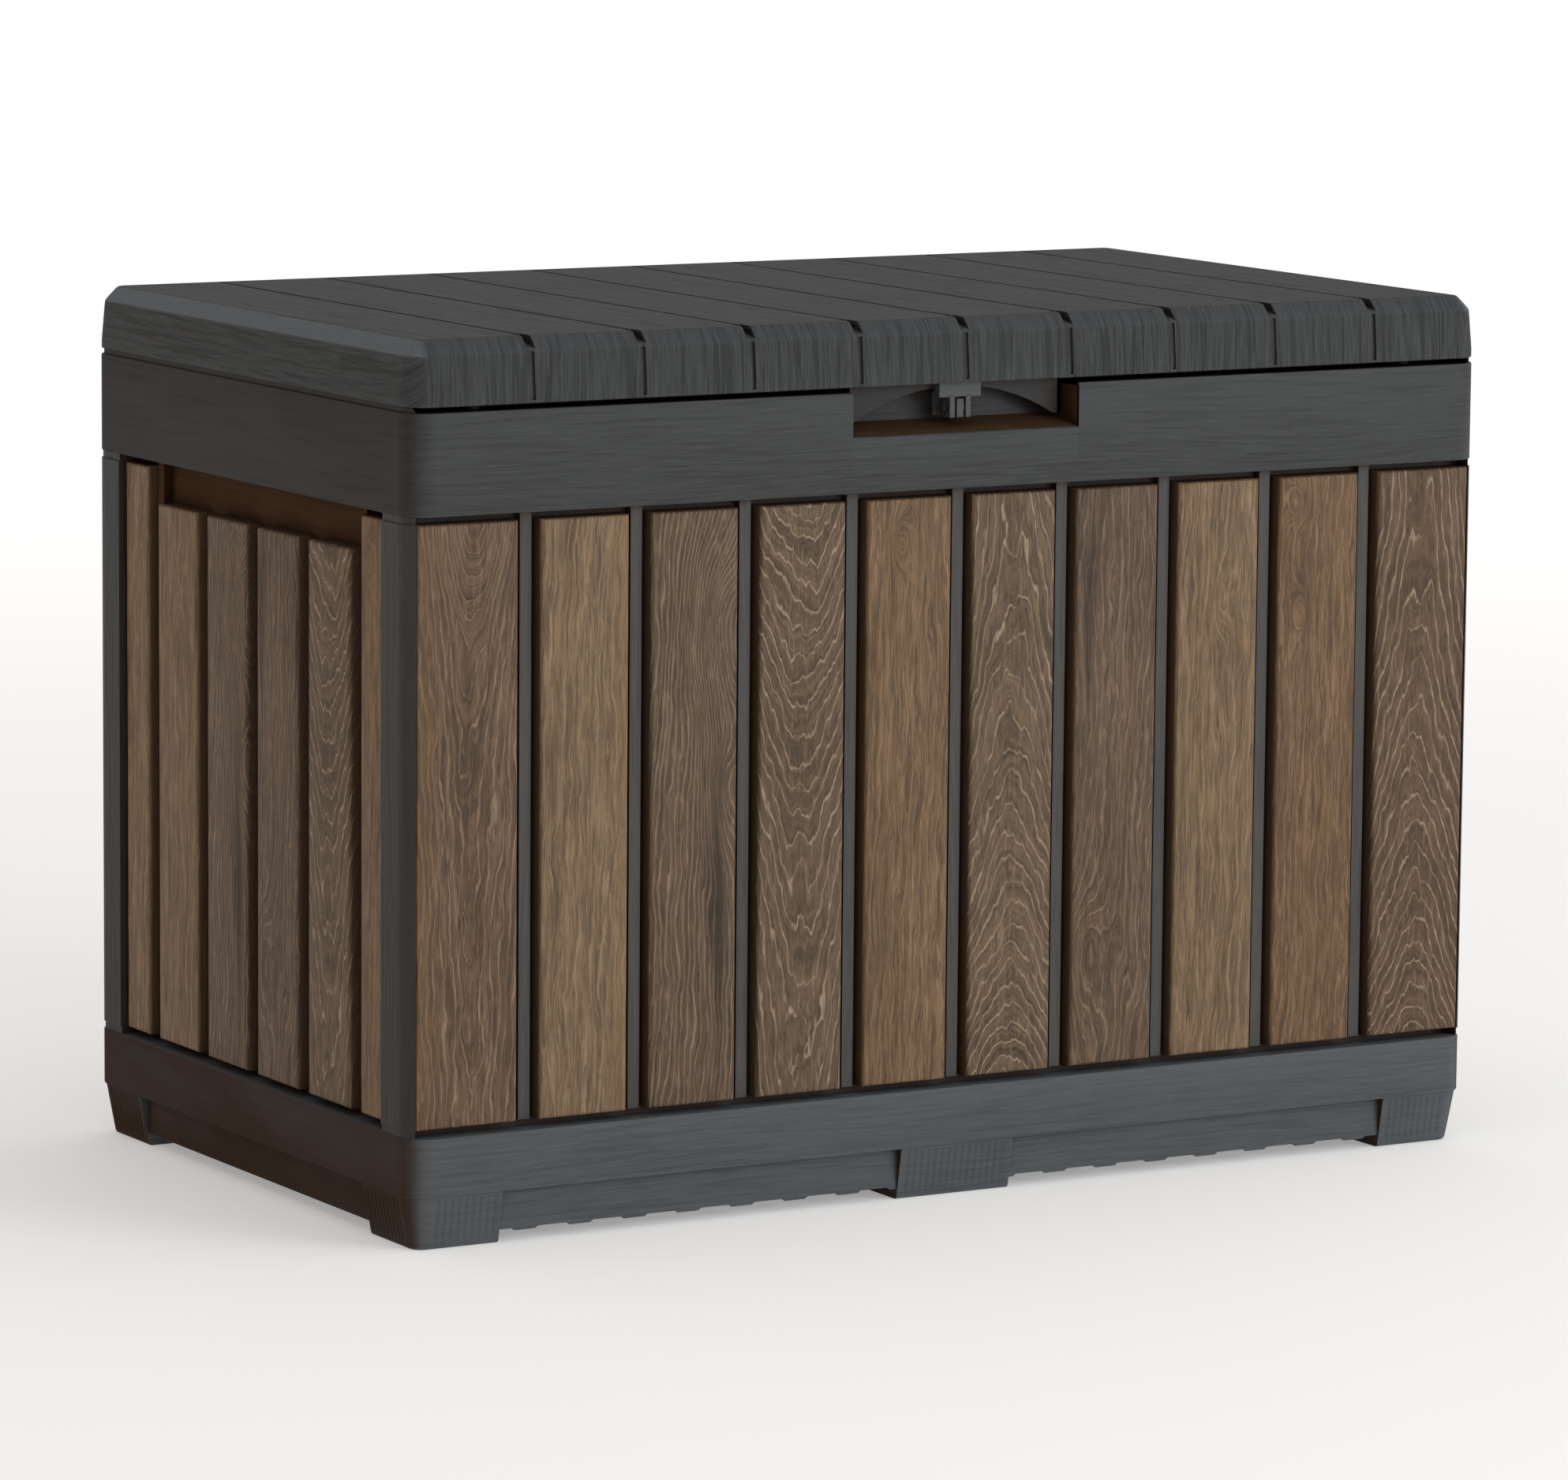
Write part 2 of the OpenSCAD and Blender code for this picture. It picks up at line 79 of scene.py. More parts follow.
def add(tree, kind, *values, out=0, **props):
    """Adds a shader node, sets its properties and inputs in order, and returns one of its outputs."""
    made = tree.nodes.new(kind)
    for key, value in props.items():
        setattr(made, key, value)
    for i, value in enumerate(values):
        if isinstance(value, bpy.types.NodeSocket):
            tree.links.new(value, made.inputs[i])
        elif value is not None:
            made.inputs[i].default_value = value
    return made.outputs[out]


def math_node(tree, operation, *values):
    return add(tree, "ShaderNodeMath", *values, operation=operation)


def mix(tree, factor, a, b):
    """Colour a mixed with colour b by a factor; each can be a value or a socket."""
    made = tree.nodes.new("ShaderNodeMix")
    made.data_type = "RGBA"
    for i, value in ((0, factor), (6, a), (7, b)):
        if isinstance(value, bpy.types.NodeSocket):
            tree.links.new(value, made.inputs[i])
        elif i == 0:
            made.inputs[i].default_value = value
        else:
            made.inputs[i].default_value = (*value, 1)
    return made.outputs[2]


def remap(tree, value, low, high, to_low=0.0, to_high=1.0, smooth=False):
    return add(tree, "ShaderNodeMapRange", value, low, high, to_low, to_high,
               interpolation_type="SMOOTHSTEP" if smooth else "LINEAR", clamp=True)


def noise(tree, vector, scale, seed=0.0, detail=2.0, rough=0.5):
    """Grey noise of a vector stretched by a scale for each axis."""
    moved = add(tree, "ShaderNodeVectorMath", vector, scale, (seed, seed * 1.7, seed * 0.6),
                operation="MULTIPLY_ADD")
    made = tree.nodes.new("ShaderNodeTexNoise")
    tree.links.new(moved, made.inputs["Vector"])
    made.inputs["Scale"].default_value = 1.0
    made.inputs["Detail"].default_value = detail
    made.inputs["Roughness"].default_value = rough
    return made.outputs["Fac"]


def new_material(name):
    mat = bpy.data.materials.new(name)
    mat.use_nodes = True
    return mat, mat.node_tree, mat.node_tree.nodes["Principled BSDF"]


def grain_vector(tree):
    """Across, along and depth of the moulded or printed grain, stored on the mesh."""
    return add(tree, "ShaderNodeAttribute", attribute_name="grain", out=1)


def axis_vector(tree, axis):
    """Object coordinates turned so that their second part runs along the given axis."""
    where = add(tree, "ShaderNodeTexCoord", out=3)
    made = tree.nodes.new("ShaderNodeSeparateXYZ")
    tree.links.new(where, made.inputs[0])
    x, y, z = made.outputs
    across, along, depth = {"X": ((z, y), x, y), "Y": ((x, z), y, z), "Z": ((x, y), z, y)}[axis]
    return add(tree, "ShaderNodeCombineXYZ", math_node(tree, "ADD", *across), along, depth)


# ---- Materials ----

GRAPHITE = (0.0285, 0.0298, 0.0306)
SLATE = (0.068, 0.0745, 0.0800)
# Brown of the painted shade in hollows and on the box's ends
SHADE_BROWN = (0.030, 0.0140, 0.0062)
# Plank side faces: a painted shade brown
PLANK_SIDE_SHADE = (0.056, 0.0320, 0.0175)
# Painted shade in the occluded gaps beside a plank
PLANK_CREVICE_SHADE = (0.050, 0.0290, 0.0160)
LIME = (0.40, 0.33, 0.25)


def resin_material(name, base, axis=None, relief=1.0, rough=0.5, gloss=0.3, end_shade=0.0, reach=0.035,
                   bevel_highlight=0.0, contrast=1.0, shade_tint=SHADE_BROWN, end_shade_high=0.25, alone=False):
    """Graphite resin with an embossed wood grain, and painted brown shade in its hollows.

    end_shade is how much painted brown shade lies on the box's two ends, and end_shade_high the share
    of it that reaches the rim. reach is how far the painted shade spreads out of a hollow in metres,
    bevel_highlight how pale the sloping edges at the two ends are painted, a painted highlight, and
    contrast the strength of the grain. With alone set, only the piece's own hollows get painted shade,
    not the places where it meets another piece or the floor.
    """
    mat, tree, bsdf = new_material(name)
    vector = axis_vector(tree, axis) if axis else grain_vector(tree)
    warp = noise(tree, vector, (9.0, 2.2, 9.0), 3.1, detail=1.0)
    bend = add(tree, "ShaderNodeCombineXYZ", math_node(tree, "MULTIPLY", warp, 0.03), 0.0, 0.0)
    vector = add(tree, "ShaderNodeVectorMath", vector, bend, operation="ADD")
    fine = noise(tree, vector, (950.0, 26.0, 950.0), 1.0, detail=3.0, rough=0.6)
    broad = noise(tree, vector, (230.0, 9.0, 230.0), 5.0, detail=2.0)
    lines = remap(tree, broad, 0.5, 0.64, smooth=True)
    patch = noise(tree, vector, (14.0, 5.0, 14.0), 9.0, detail=2.0)
    speck = noise(tree, vector, (1400.0, 1100.0, 1400.0), 2.0, detail=2.0)

    dark = tuple(c * (1 - 0.22 * contrast) for c in base)
    pale = tuple(c * (1 + 0.28 * contrast) for c in base)
    colour = mix(tree, remap(tree, fine, 0.3, 0.7), dark, pale)
    colour = mix(tree, math_node(tree, "MULTIPLY", lines, 0.35 * contrast), colour,
                 tuple(c * 0.55 for c in base))
    colour = mix(tree, remap(tree, patch, 0.35, 0.7, 0.0, 0.35), colour, tuple(c * 1.22 for c in base))
    colour = mix(tree, remap(tree, speck, 0.62, 0.8, 0.0, 0.3), colour, tuple(c * 1.9 for c in base))
    # Painted highlight: the sloping edges towards the two ends made paler, as lit by the bright sky
    if bevel_highlight:
        tilt = tree.nodes.new("ShaderNodeSeparateXYZ")
        tree.links.new(add(tree, "ShaderNodeTexCoord", out=1), tilt.inputs[0])
        sloping = math_node(tree, "MULTIPLY", remap(tree, tilt.outputs[2], 0.2, 0.45, 0.0, bevel_highlight),
                            remap(tree, tilt.outputs[2], 0.9, 0.985, 1.0, 0.0))
        endward = remap(tree, math_node(tree, "ABSOLUTE", tilt.outputs[0]), 0.15, 0.5, 0.15, 1.0)
        sloping = math_node(tree, "MULTIPLY", sloping, endward)
        colour = mix(tree, sloping, colour, tuple(c * lift for c, lift in zip(base, (2.65, 2.9, 3.15))))
    # Painted shade: brown darkening where ambient occlusion finds hollows, creases and joints
    crevice_shade = add(tree, "ShaderNodeAmbientOcclusion", None, reach, out=1, samples=6, only_local=alone)
    colour = mix(tree, remap(tree, crevice_shade, 0.74, 0.3, 0.0, 0.9), colour, shade_tint)
    matt = remap(tree, fine, 0.25, 0.75, rough - 0.07, rough + 0.1)
    # Painted shade: faces turned to the two ends made browner and darker, more so lower down
    if end_shade:
        facing = tree.nodes.new("ShaderNodeSeparateXYZ")
        tree.links.new(add(tree, "ShaderNodeNewGeometry", out=1), facing.inputs[0])
        place = tree.nodes.new("ShaderNodeSeparateXYZ")
        tree.links.new(add(tree, "ShaderNodeNewGeometry"), place.inputs[0])
        on_end = remap(tree, math_node(tree, "ABSOLUTE", facing.outputs[0]), 0.35, 0.95, smooth=True)
        low = remap(tree, place.outputs[2], 0.0, RIM_TOP, 1.0, end_shade_high)
        end_shade_mask = math_node(tree, "MULTIPLY", on_end, math_node(tree, "MULTIPLY", low, end_shade))
        end_shade_mask = math_node(tree, "MULTIPLY", end_shade_mask, remap(tree, patch, 0.3, 0.6, 0.8, 1.0))
        colour = mix(tree, end_shade_mask, colour, shade_tint)
        matt = math_node(tree, "MULTIPLY_ADD", end_shade_mask, 0.35, matt)
    tree.links.new(colour, bsdf.inputs["Base Color"])
    tree.links.new(matt, bsdf.inputs["Roughness"])
    height = math_node(tree, "MULTIPLY_ADD", lines, -0.7, math_node(tree, "MULTIPLY", fine, 0.5))
    height = math_node(tree, "MULTIPLY_ADD", speck, 0.08, height)
    bump = add(tree, "ShaderNodeBump", 0.45 * relief, 0.0006, 1.0, height)
    tree.links.new(bump, bsdf.inputs["Normal"])
    bsdf.inputs["Specular IOR Level"].default_value = gloss
    return mat


def wood_material(name, shade, pith=0.0, blunt=0.008, ring=0.007, slope=0.1, curve=0.0, limed=0.5,
                  zigzag=0.35, seed=0.0, swirl=(), streak=0.3, edge=None, knot=()):
    """Printed, limed oak: nested crests of year rings down the plank, with fine fibre and pale pores.

    shade is the plank's mean colour. The rings lie ring apart across the plank, and run
    ring / (slope + 2 * curve * height) apart along it, so a positive slope points the crests up
    and a negative one down. pith is how far their middle lies to one side, and blunt rounds
    their tips, all in metres. limed is how pale the ring lines are, zigzag how ragged, and streak
    how strong the dark bands are. A swirl lifts the rings round a place and a knot darkens it:
    both start with across, along and their half widths. edge is a side, 1 or -1, and how warm
    its colour is.
    """
    mat, tree, bsdf = new_material(name)
    vector = grain_vector(tree)
    part = tree.nodes.new("ShaderNodeSeparateXYZ")
    tree.links.new(vector, part.inputs[0])
    across, along = part.outputs[0], part.outputs[1]

    def op(kind, *values):
        return math_node(tree, kind, *values)

    def bell_at(u, v, su, sv):
        """Smooth hill at a place on the plank, 1 at its top."""
        du = op("DIVIDE", op("SUBTRACT", across, u), su)
        dv = op("DIVIDE", op("SUBTRACT", along, v), sv)
        return op("EXPONENT", op("MULTIPLY", op("MULTIPLY_ADD", du, du, op("MULTIPLY", dv, dv)), -1.0))

    slow = noise(tree, vector, (14.0, 6.0, 14.0), seed + 1.0, detail=2.0)
    wave = noise(tree, vector, (60.0, 17.0, 60.0), seed + 4.0, detail=2.0)
    jag = noise(tree, vector, (210.0, 30.0, 210.0), seed + 7.0, detail=2.0, rough=0.6)
    side = op("MULTIPLY_ADD", slow, 0.026, op("SUBTRACT", across, pith + 0.013))
    crest = op("SQRT", op("MULTIPLY_ADD", side, side, blunt * blunt))
    rise = op("MULTIPLY", along, op("MULTIPLY_ADD", along, curve, slope))
    field = op("ADD", crest, op("MULTIPLY_ADD", wave, 0.014, rise))
    for u, v, su, sv, lift in swirl:
        field = op("MULTIPLY_ADD", bell_at(u, v, su, sv), lift, field)
    phase = op("MULTIPLY_ADD", jag, zigzag, op("DIVIDE", field, ring))

    # The rings lie far apart at a crest, so their lines are thinned there by the field's steepness.
    lean = op("DIVIDE", side, crest)
    climb = op("MULTIPLY_ADD", along, 2 * curve, slope)
    steep = op("SQRT", op("MULTIPLY_ADD", lean, lean, op("MULTIPLY_ADD", climb, climb, 0.03)))
    turn = op("FRACT", phase)
    gap = op("MULTIPLY", op("ABSOLUTE", op("SUBTRACT", turn, 0.5)), ring)
    line = remap(tree, op("DIVIDE", gap, steep), 0.0001, 0.0011, 1.0, 0.0, smooth=True)
    minor = op("ABSOLUTE", op("SUBTRACT", op("FRACT", op("MULTIPLY", phase, 3.0)), 0.5))
    minor = remap(tree, minor, 0.0, 0.3, 1.0, 0.0, smooth=True)

    pores = noise(tree, vector, (520.0, 46.0, 520.0), seed + 11.0, detail=2.0, rough=0.55)
    dashes = remap(tree, pores, 0.55, 0.68, smooth=True)
    flow = add(tree, "ShaderNodeCombineXYZ", field, along, part.outputs[2])
    fibre = noise(tree, flow, (400.0, 11.0, 400.0), seed + 13.0, detail=4.0, rough=0.66)
    hair = noise(tree, vector, (1300.0, 40.0, 1300.0), seed + 15.0, detail=2.0, rough=0.6)
    pit = noise(tree, vector, (290.0, 36.0, 290.0), seed + 31.0, detail=3.0, rough=0.72)
    stripe = noise(tree, flow, (95.0, 4.5, 95.0), seed + 17.0, detail=4.0, rough=0.62)
    cloud = noise(tree, vector, (24.0, 6.0, 24.0), seed + 19.0, detail=2.0)
    fleck = noise(tree, vector, (110.0, 30.0, 110.0), seed + 23.0, detail=2.0)

    def toned(amount, red=1.0, blue=1.0):
        return (shade[0] * amount * red, shade[1] * amount, shade[2] * amount * blue)

    lime = tuple(0.55 * c * 2.6 + 0.45 * g for c, g in zip(shade, LIME))
    colour = mix(tree, remap(tree, stripe, 0.34, 0.66, smooth=True), toned(0.76, 1.04, 0.92), toned(1.12))
    colour = mix(tree, remap(tree, cloud, 0.42, 0.7, 0.0, 0.55), colour, toned(1.3, 0.98, 1.06))
    colour = mix(tree, op("MULTIPLY", turn, 0.24), colour, toned(0.56))
    colour = mix(tree, remap(tree, fibre, 0.3, 0.5, 0.85, 0.0), colour, toned(0.33))
    colour = mix(tree, remap(tree, fibre, 0.5, 0.7, 0.0, 0.7), colour, toned(1.95, 0.98, 1.04))
    colour = mix(tree, remap(tree, hair, 0.5, 0.7, 0.0, 0.5), colour, toned(0.5))
    colour = mix(tree, remap(tree, pit, 0.33, 0.47, 0.62, 0.0), colour, toned(0.42))
    colour = mix(tree, remap(tree, pit, 0.56, 0.7, 0.0, 0.55), colour, toned(1.75))
    faint = op("MULTIPLY", minor, remap(tree, fleck, 0.4, 0.62, 0.0, 0.34))
    colour = mix(tree, faint, colour, toned(1.75))
    shown = op("MULTIPLY", line, remap(tree, fleck, 0.34, 0.58, 0.35, 1.0))
    colour = mix(tree, op("MULTIPLY", shown, limed), colour, lime)
    colour = mix(tree, op("MULTIPLY", dashes, remap(tree, cloud, 0.3, 0.62, 0.1, 0.4)), colour, lime)
    if streak:
        band = noise(tree, vector, (46.0, 3.0, 46.0), seed + 29.0, detail=3.0)
        band = remap(tree, band, 0.58, 0.7, smooth=True)
        colour = mix(tree, op("MULTIPLY", band, streak), colour, toned(0.4))
    for u, v, su, sv in knot:
        stain = op("MULTIPLY", bell_at(u, v, su, sv), remap(tree, stripe, 0.62, 0.4, 0.25, 0.95))
        colour = mix(tree, stain, colour, toned(0.2, 0.95, 0.85))
    if edge:
        sign, strength = edge
        warm = remap(tree, op("MULTIPLY", across, sign), 0.018, 0.041, 0.0, strength, smooth=True)
        colour = mix(tree, warm, colour, toned(1.18, 1.14, 0.72))
    # Painted shade: the side faces, behind the rounding, made a shaded dark brown
    colour = mix(tree, remap(tree, part.outputs[2], 0.0018, 0.005, 0.0, 0.85), colour, PLANK_SIDE_SHADE)
    # Painted shade: darker brown where ambient occlusion finds the gaps by the plank
    crevice_shade = add(tree, "ShaderNodeAmbientOcclusion", None, 0.02, out=1, samples=5)
    colour = mix(tree, remap(tree, crevice_shade, 0.7, 0.15, 0.0, 0.8), colour, PLANK_CREVICE_SHADE)
    tree.links.new(colour, bsdf.inputs["Base Color"])
    tree.links.new(remap(tree, pores, 0.3, 0.7, 0.52, 0.74), bsdf.inputs["Roughness"])
    height = op("MULTIPLY_ADD", line, -0.4, op("MULTIPLY", fibre, 0.7))
    height = op("MULTIPLY_ADD", dashes, -0.3, height)
    bump = add(tree, "ShaderNodeBump", 0.5, 0.0005, 1.0, height)
    tree.links.new(bump, bsdf.inputs["Normal"])
    bsdf.inputs["Specular IOR Level"].default_value = 0.3
    return mat


def metal_material(name):
    """Zinc plated steel with rolling marks and a dull bloom."""
    mat, tree, bsdf = new_material(name)
    where = add(tree, "ShaderNodeTexCoord", out=3)
    marks = noise(tree, where, (40.0, 1800.0, 1800.0), 2.0, detail=2.0)
    bloom = noise(tree, where, (160.0, 160.0, 160.0), 6.0, detail=4.0, rough=0.7)
    colour = mix(tree, remap(tree, bloom, 0.35, 0.65), (0.50, 0.51, 0.50), (0.68, 0.68, 0.66))
    colour = mix(tree, remap(tree, marks, 0.3, 0.7, 0.0, 0.3), colour, (0.34, 0.34, 0.33))
    tree.links.new(colour, bsdf.inputs["Base Color"])
    tree.links.new(remap(tree, bloom, 0.3, 0.7, 0.28, 0.5), bsdf.inputs["Roughness"])
    bsdf.inputs["Metallic"].default_value = 1.0
    bump = add(tree, "ShaderNodeBump", 0.2, 0.0002, 1.0, marks)
    tree.links.new(bump, bsdf.inputs["Normal"])
    return mat


def rubber_material(name):
    """Matt black rubber with a fine grain."""
    mat, tree, bsdf = new_material(name)
    where = add(tree, "ShaderNodeTexCoord", out=3)
    grain = noise(tree, where, (900.0, 900.0, 900.0), 4.0, detail=3.0)
    colour = mix(tree, grain, (0.012, 0.012, 0.012), (0.04, 0.039, 0.038))
    tree.links.new(colour, bsdf.inputs["Base Color"])
    tree.links.new(remap(tree, grain, 0.3, 0.7, 0.75, 0.92), bsdf.inputs["Roughness"])
    bump = add(tree, "ShaderNodeBump", 0.3, 0.0003, 1.0, grain)
    tree.links.new(bump, bsdf.inputs["Normal"])
    return mat


def paler(amount):
    """Graphite made that many times as bright."""
    return tuple(c * amount for c in GRAPHITE)


# Each resin gets painted brown shade in its hollows; the rim, base and posts also get painted shade on the
# ends, and the lid a painted highlight on its end bevels
lid_resin = resin_material("lid_resin", paler(1.62), relief=1.5, rough=0.62, gloss=0.12, reach=0.022,
                           bevel_highlight=1.0, contrast=2.2, shade_tint=(0.013, 0.0105, 0.0092))
rim_resin = resin_material("rim_resin", paler(1.5), relief=0.45, gloss=0.2, end_shade=0.95, reach=0.04,
                           shade_tint=(0.0125, 0.0062, 0.0030), end_shade_high=0.5, contrast=1.4)
# Painted shade: dark brown for the recess under the lid
recess_painted_shade = resin_material("recess_painted_shade", (0.056, 0.0310, 0.0160), relief=0.3, rough=0.6, gloss=0.15,
                              reach=0.03)
base_resin = resin_material("base_resin", tuple(c * 1.12 for c in SLATE), relief=0.35, gloss=0.2, end_shade=1.0,
                            reach=0.012, shade_tint=(0.0297, 0.0122, 0.0038), alone=True)
panel_resin = resin_material("panel_resin", (0.0757, 0.0715, 0.0680), axis="Z", relief=0.5, gloss=0.2,
                             reach=0.014)
# Painted shade: the end panels and grip plates are given the brown of shade
end_panel_shade = resin_material("end_panel_shade", (0.0600, 0.0305, 0.0155), axis="Y", relief=0.4, rough=0.7,
                            gloss=0.02, reach=0.04)
post_resin = resin_material("post_resin", GRAPHITE, axis="Z", relief=1.3, end_shade=0.3)
inner_resin = resin_material("inner_resin", GRAPHITE, axis="X", relief=0.4, rough=0.6)
lock_resin = resin_material("lock_resin", paler(2.2), axis="X", relief=0.3, reach=0.01)
zinc = metal_material("zinc_plate")
rubber = rubber_material("black_rubber")

WOODS = {
    1: wood_material("oak_swirl", (0.1122, 0.0668, 0.0368), pith=0.004, blunt=0.014, ring=0.0062,
                     slope=-0.03, curve=-0.04, limed=0.55, seed=1.3, streak=0.4, edge=(-1, 0.35),
                     swirl=[(0.006, 0.535, 0.032, 0.085, -0.052)]),
    2: wood_material("oak_tan", (0.1727, 0.1114, 0.0607), pith=0.09, ring=0.008, slope=0.02, limed=0.25,
                     seed=8.1, streak=0.12, edge=(1, 0.35)),
    3: wood_material("oak_arcs", (0.0983, 0.0601, 0.0349), pith=0.06, ring=0.0055, slope=0.03, curve=0.05,
                     limed=0.6, seed=15.7, streak=0.35, knot=[(0.022, 0.17, 0.010, 0.13)],
                     swirl=[(0.036, 0.41, 0.030, 0.075, -0.060), (0.036, 0.27, 0.022, 0.05, -0.035)]),
    4: wood_material("oak_cathedral", (0.1126, 0.0721, 0.0403), blunt=0.020, ring=0.0078, slope=-0.085,
                     curve=-0.38, limed=0.95, zigzag=0.6, seed=21.9, streak=0.15,
                     swirl=[(0.0, 0.19, 0.007, 0.045, 0.009), (0.0, 0.06, 0.008, 0.030, 0.006)]),
    5: wood_material("oak_warm", (0.1519, 0.0896, 0.0445), pith=-0.08, ring=0.008, slope=-0.02, limed=0.22,
                     seed=33.3, streak=0.3, swirl=[(-0.010, 0.475, 0.010, 0.024, 0.030)]),
    6: wood_material("oak_arches", (0.1137, 0.0735, 0.0411), blunt=0.017, ring=0.0076, slope=0.52,
                     curve=-0.43, limed=0.85, zigzag=0.5, seed=41.2, streak=0.15,
                     swirl=[(-0.002, 0.46, 0.008, 0.040, 0.007)]),
    7: wood_material("oak_shadow", (0.1064, 0.0659, 0.0389), pith=0.05, ring=0.007, slope=0.10, curve=-0.10,
                     limed=0.35, seed=52.6, streak=0.3, knot=[(-0.030, 0.42, 0.009, 0.10)],
                     swirl=[(-0.030, 0.10, 0.024, 0.06, -0.032)]),
    8: wood_material("oak_pale", (0.1693, 0.1076, 0.0571), pith=-0.10, ring=0.009, slope=-0.02, limed=0.25,
                     seed=63.4, streak=0.06, knot=[(-0.027, 0.040, 0.0045, 0.007)],
                     swirl=[(0.0, 0.40, 0.010, 0.035, 0.018)]),
    9: wood_material("oak_fine", (0.1358, 0.0760, 0.0362), pith=0.08, ring=0.008, slope=0.02, limed=0.25,
                     seed=71.8, streak=0.25, swirl=[(-0.020, 0.49, 0.011, 0.020, 0.030),
                                                    (-0.016, 0.39, 0.009, 0.024, 0.024)]),
    10: wood_material("oak_crown", (0.0973, 0.0582, 0.0312), pith=-0.002, blunt=0.013, ring=0.0080,
                      slope=0.48, curve=-0.40, limed=0.95, zigzag=0.55, seed=84.5, streak=0.15,
                      swirl=[(-0.004, 0.47, 0.008, 0.035, 0.007), (-0.002, 0.40, 0.008, 0.030, 0.006)]),
}


# ---- Mesh helpers ----

def finish_piece(name, bm, body, material, stands_for=(), grain=None):
    """Turns a bmesh into a piece that rides on a body and stands for CAD nodes."""
    bmesh.ops.remove_doubles(bm, verts=bm.verts, dist=1e-6)
    bmesh.ops.dissolve_degenerate(bm, edges=bm.edges, dist=1e-7)
    bmesh.ops.recalc_face_normals(bm, faces=bm.faces)
    mesh = bpy.data.meshes.new(name)
    bm.to_mesh(mesh)
    bm.free()
    if grain:
        stored = mesh.attributes.new("grain", "FLOAT_VECTOR", "CORNER")
        flat = []
        for face in mesh.polygons:
            for loop in face.loop_indices:
                corner = mesh.vertices[mesh.loops[loop].vertex_index].co
                flat.extend(grain(corner, face.normal, face.center))
        stored.data.foreach_set("vector", flat)
    mesh.materials.append(material)
    mesh.polygons.foreach_set("use_smooth", [True] * len(mesh.polygons))
    mesh.set_sharp_from_angle(angle=SHARP)
    obj = bpy.data.objects.new(name, mesh)
    bpy.context.scene.collection.objects.link(obj)
    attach(obj, body)
    if stands_for:
        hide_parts(*stands_for)
    return obj


def loft(bm, columns, closed_section=True, closed_loop=True, caps=False):
    """Skins columns of points, each a list of positions, one beside the other."""
    rings = [[bm.verts.new(p) for p in column] for column in columns]
    count = len(rings)
    rows = len(rings[0])
    for i in range(count if closed_loop else count - 1):
        a, b = rings[i], rings[(i + 1) % count]
        for j in range(rows if closed_section else rows - 1):
            k = (j + 1) % rows
            quad = [a[j], b[j], b[k], a[k]]
            if len({tuple(v.co) for v in quad}) > 2:
                bm.faces.new(quad)
    if caps:
        bm.faces.new(list(reversed(rings[0])))
        bm.faces.new(rings[-1])
    return rings


def outline_point(inset, x, y, turn=None):
    """A point of the box's outline set in by inset: on a straight stretch, or on a corner's arc."""
    if turn is None:
        on_end = abs(x) >= HALF_W - 1e-9
        return (x - math.copysign(inset, x), y) if on_end else (x, y - math.copysign(inset, y))
    r = max(CORNER_R - inset, 0.0005)
    shift = CORNER_R - inset - r
    cx = math.copysign(HALF_W - CORNER_R + shift, x)
    cy = math.copysign(HALF_D - CORNER_R + shift, y)
    return cx + r * math.cos(turn), cy + r * math.sin(turn)


# Steps round each rounded corner
ARC = 12


def corner_stations(sx, sy, start):
    """Stations round one corner, as (x, y, angle); start is the first angle in quarter turns."""
    return [(sx * HALF_W, sy * HALF_D, (start + i / ARC) * math.pi / 2) for i in range(ARC + 1)]


def band_grain(co, normal, centre):
    """Level grain that runs round the box."""
    if abs(normal.z) > 0.9:
        return (co.y, co.x, 0.0)
    if abs(normal.y) >= abs(normal.x):
        return (co.z, co.x, 0.1)
    return (co.z, co.y, 0.4)


# ---- Lid ----

GROOVES = [k * PITCH for k in range(1 - PLANKS // 2, PLANKS // 2)]


def lid_profile(groove, chute, notch_z):
    """Outer section of the lid from its lower edge to the edge of the flat top, as (inset, z)."""
    g = GROOVE_DEPTH if groove else 0.0
    low = max(LID_LOW, notch_z)
    shoulder = LID_TOP - BEVEL_DROP
    side = [(1.0 * MM, low),
            (0.3 * MM, max(low, LID_LOW + 0.8 * MM)), (0.25 * MM, max(low, LID_LOW + 2.5 * MM)),
            (0.25 * MM + g, max(low, LID_LOW + 3.0 * MM)), (0.25 * MM + g, max(low, LID_LOW + 7.6 * MM)),
            (3.0 * MM + g, shoulder - 3.0 * MM), (3.4 * MM + g, shoulder - 0.4 * MM),
            (3.9 * MM, shoulder + 0.8 * MM), (5.2 * MM, shoulder + 2.5 * MM)]
    if chute:
        bevel = [(7.5 * MM, shoulder + 3.6 * MM), (13.5 * MM, shoulder + 5.0 * MM),
                 (16.0 * MM, shoulder + 5.6 * MM), (18.0 * MM, shoulder + 6.0 * MM)]
    else:
        bevel = [(7.5 * MM, shoulder + 5.0 * MM), (13.5 * MM, LID_TOP - 1.6 * MM),
                 (15.5 * MM, LID_TOP - 0.4 * MM), (18.0 * MM, LID_TOP)]
    return side + bevel


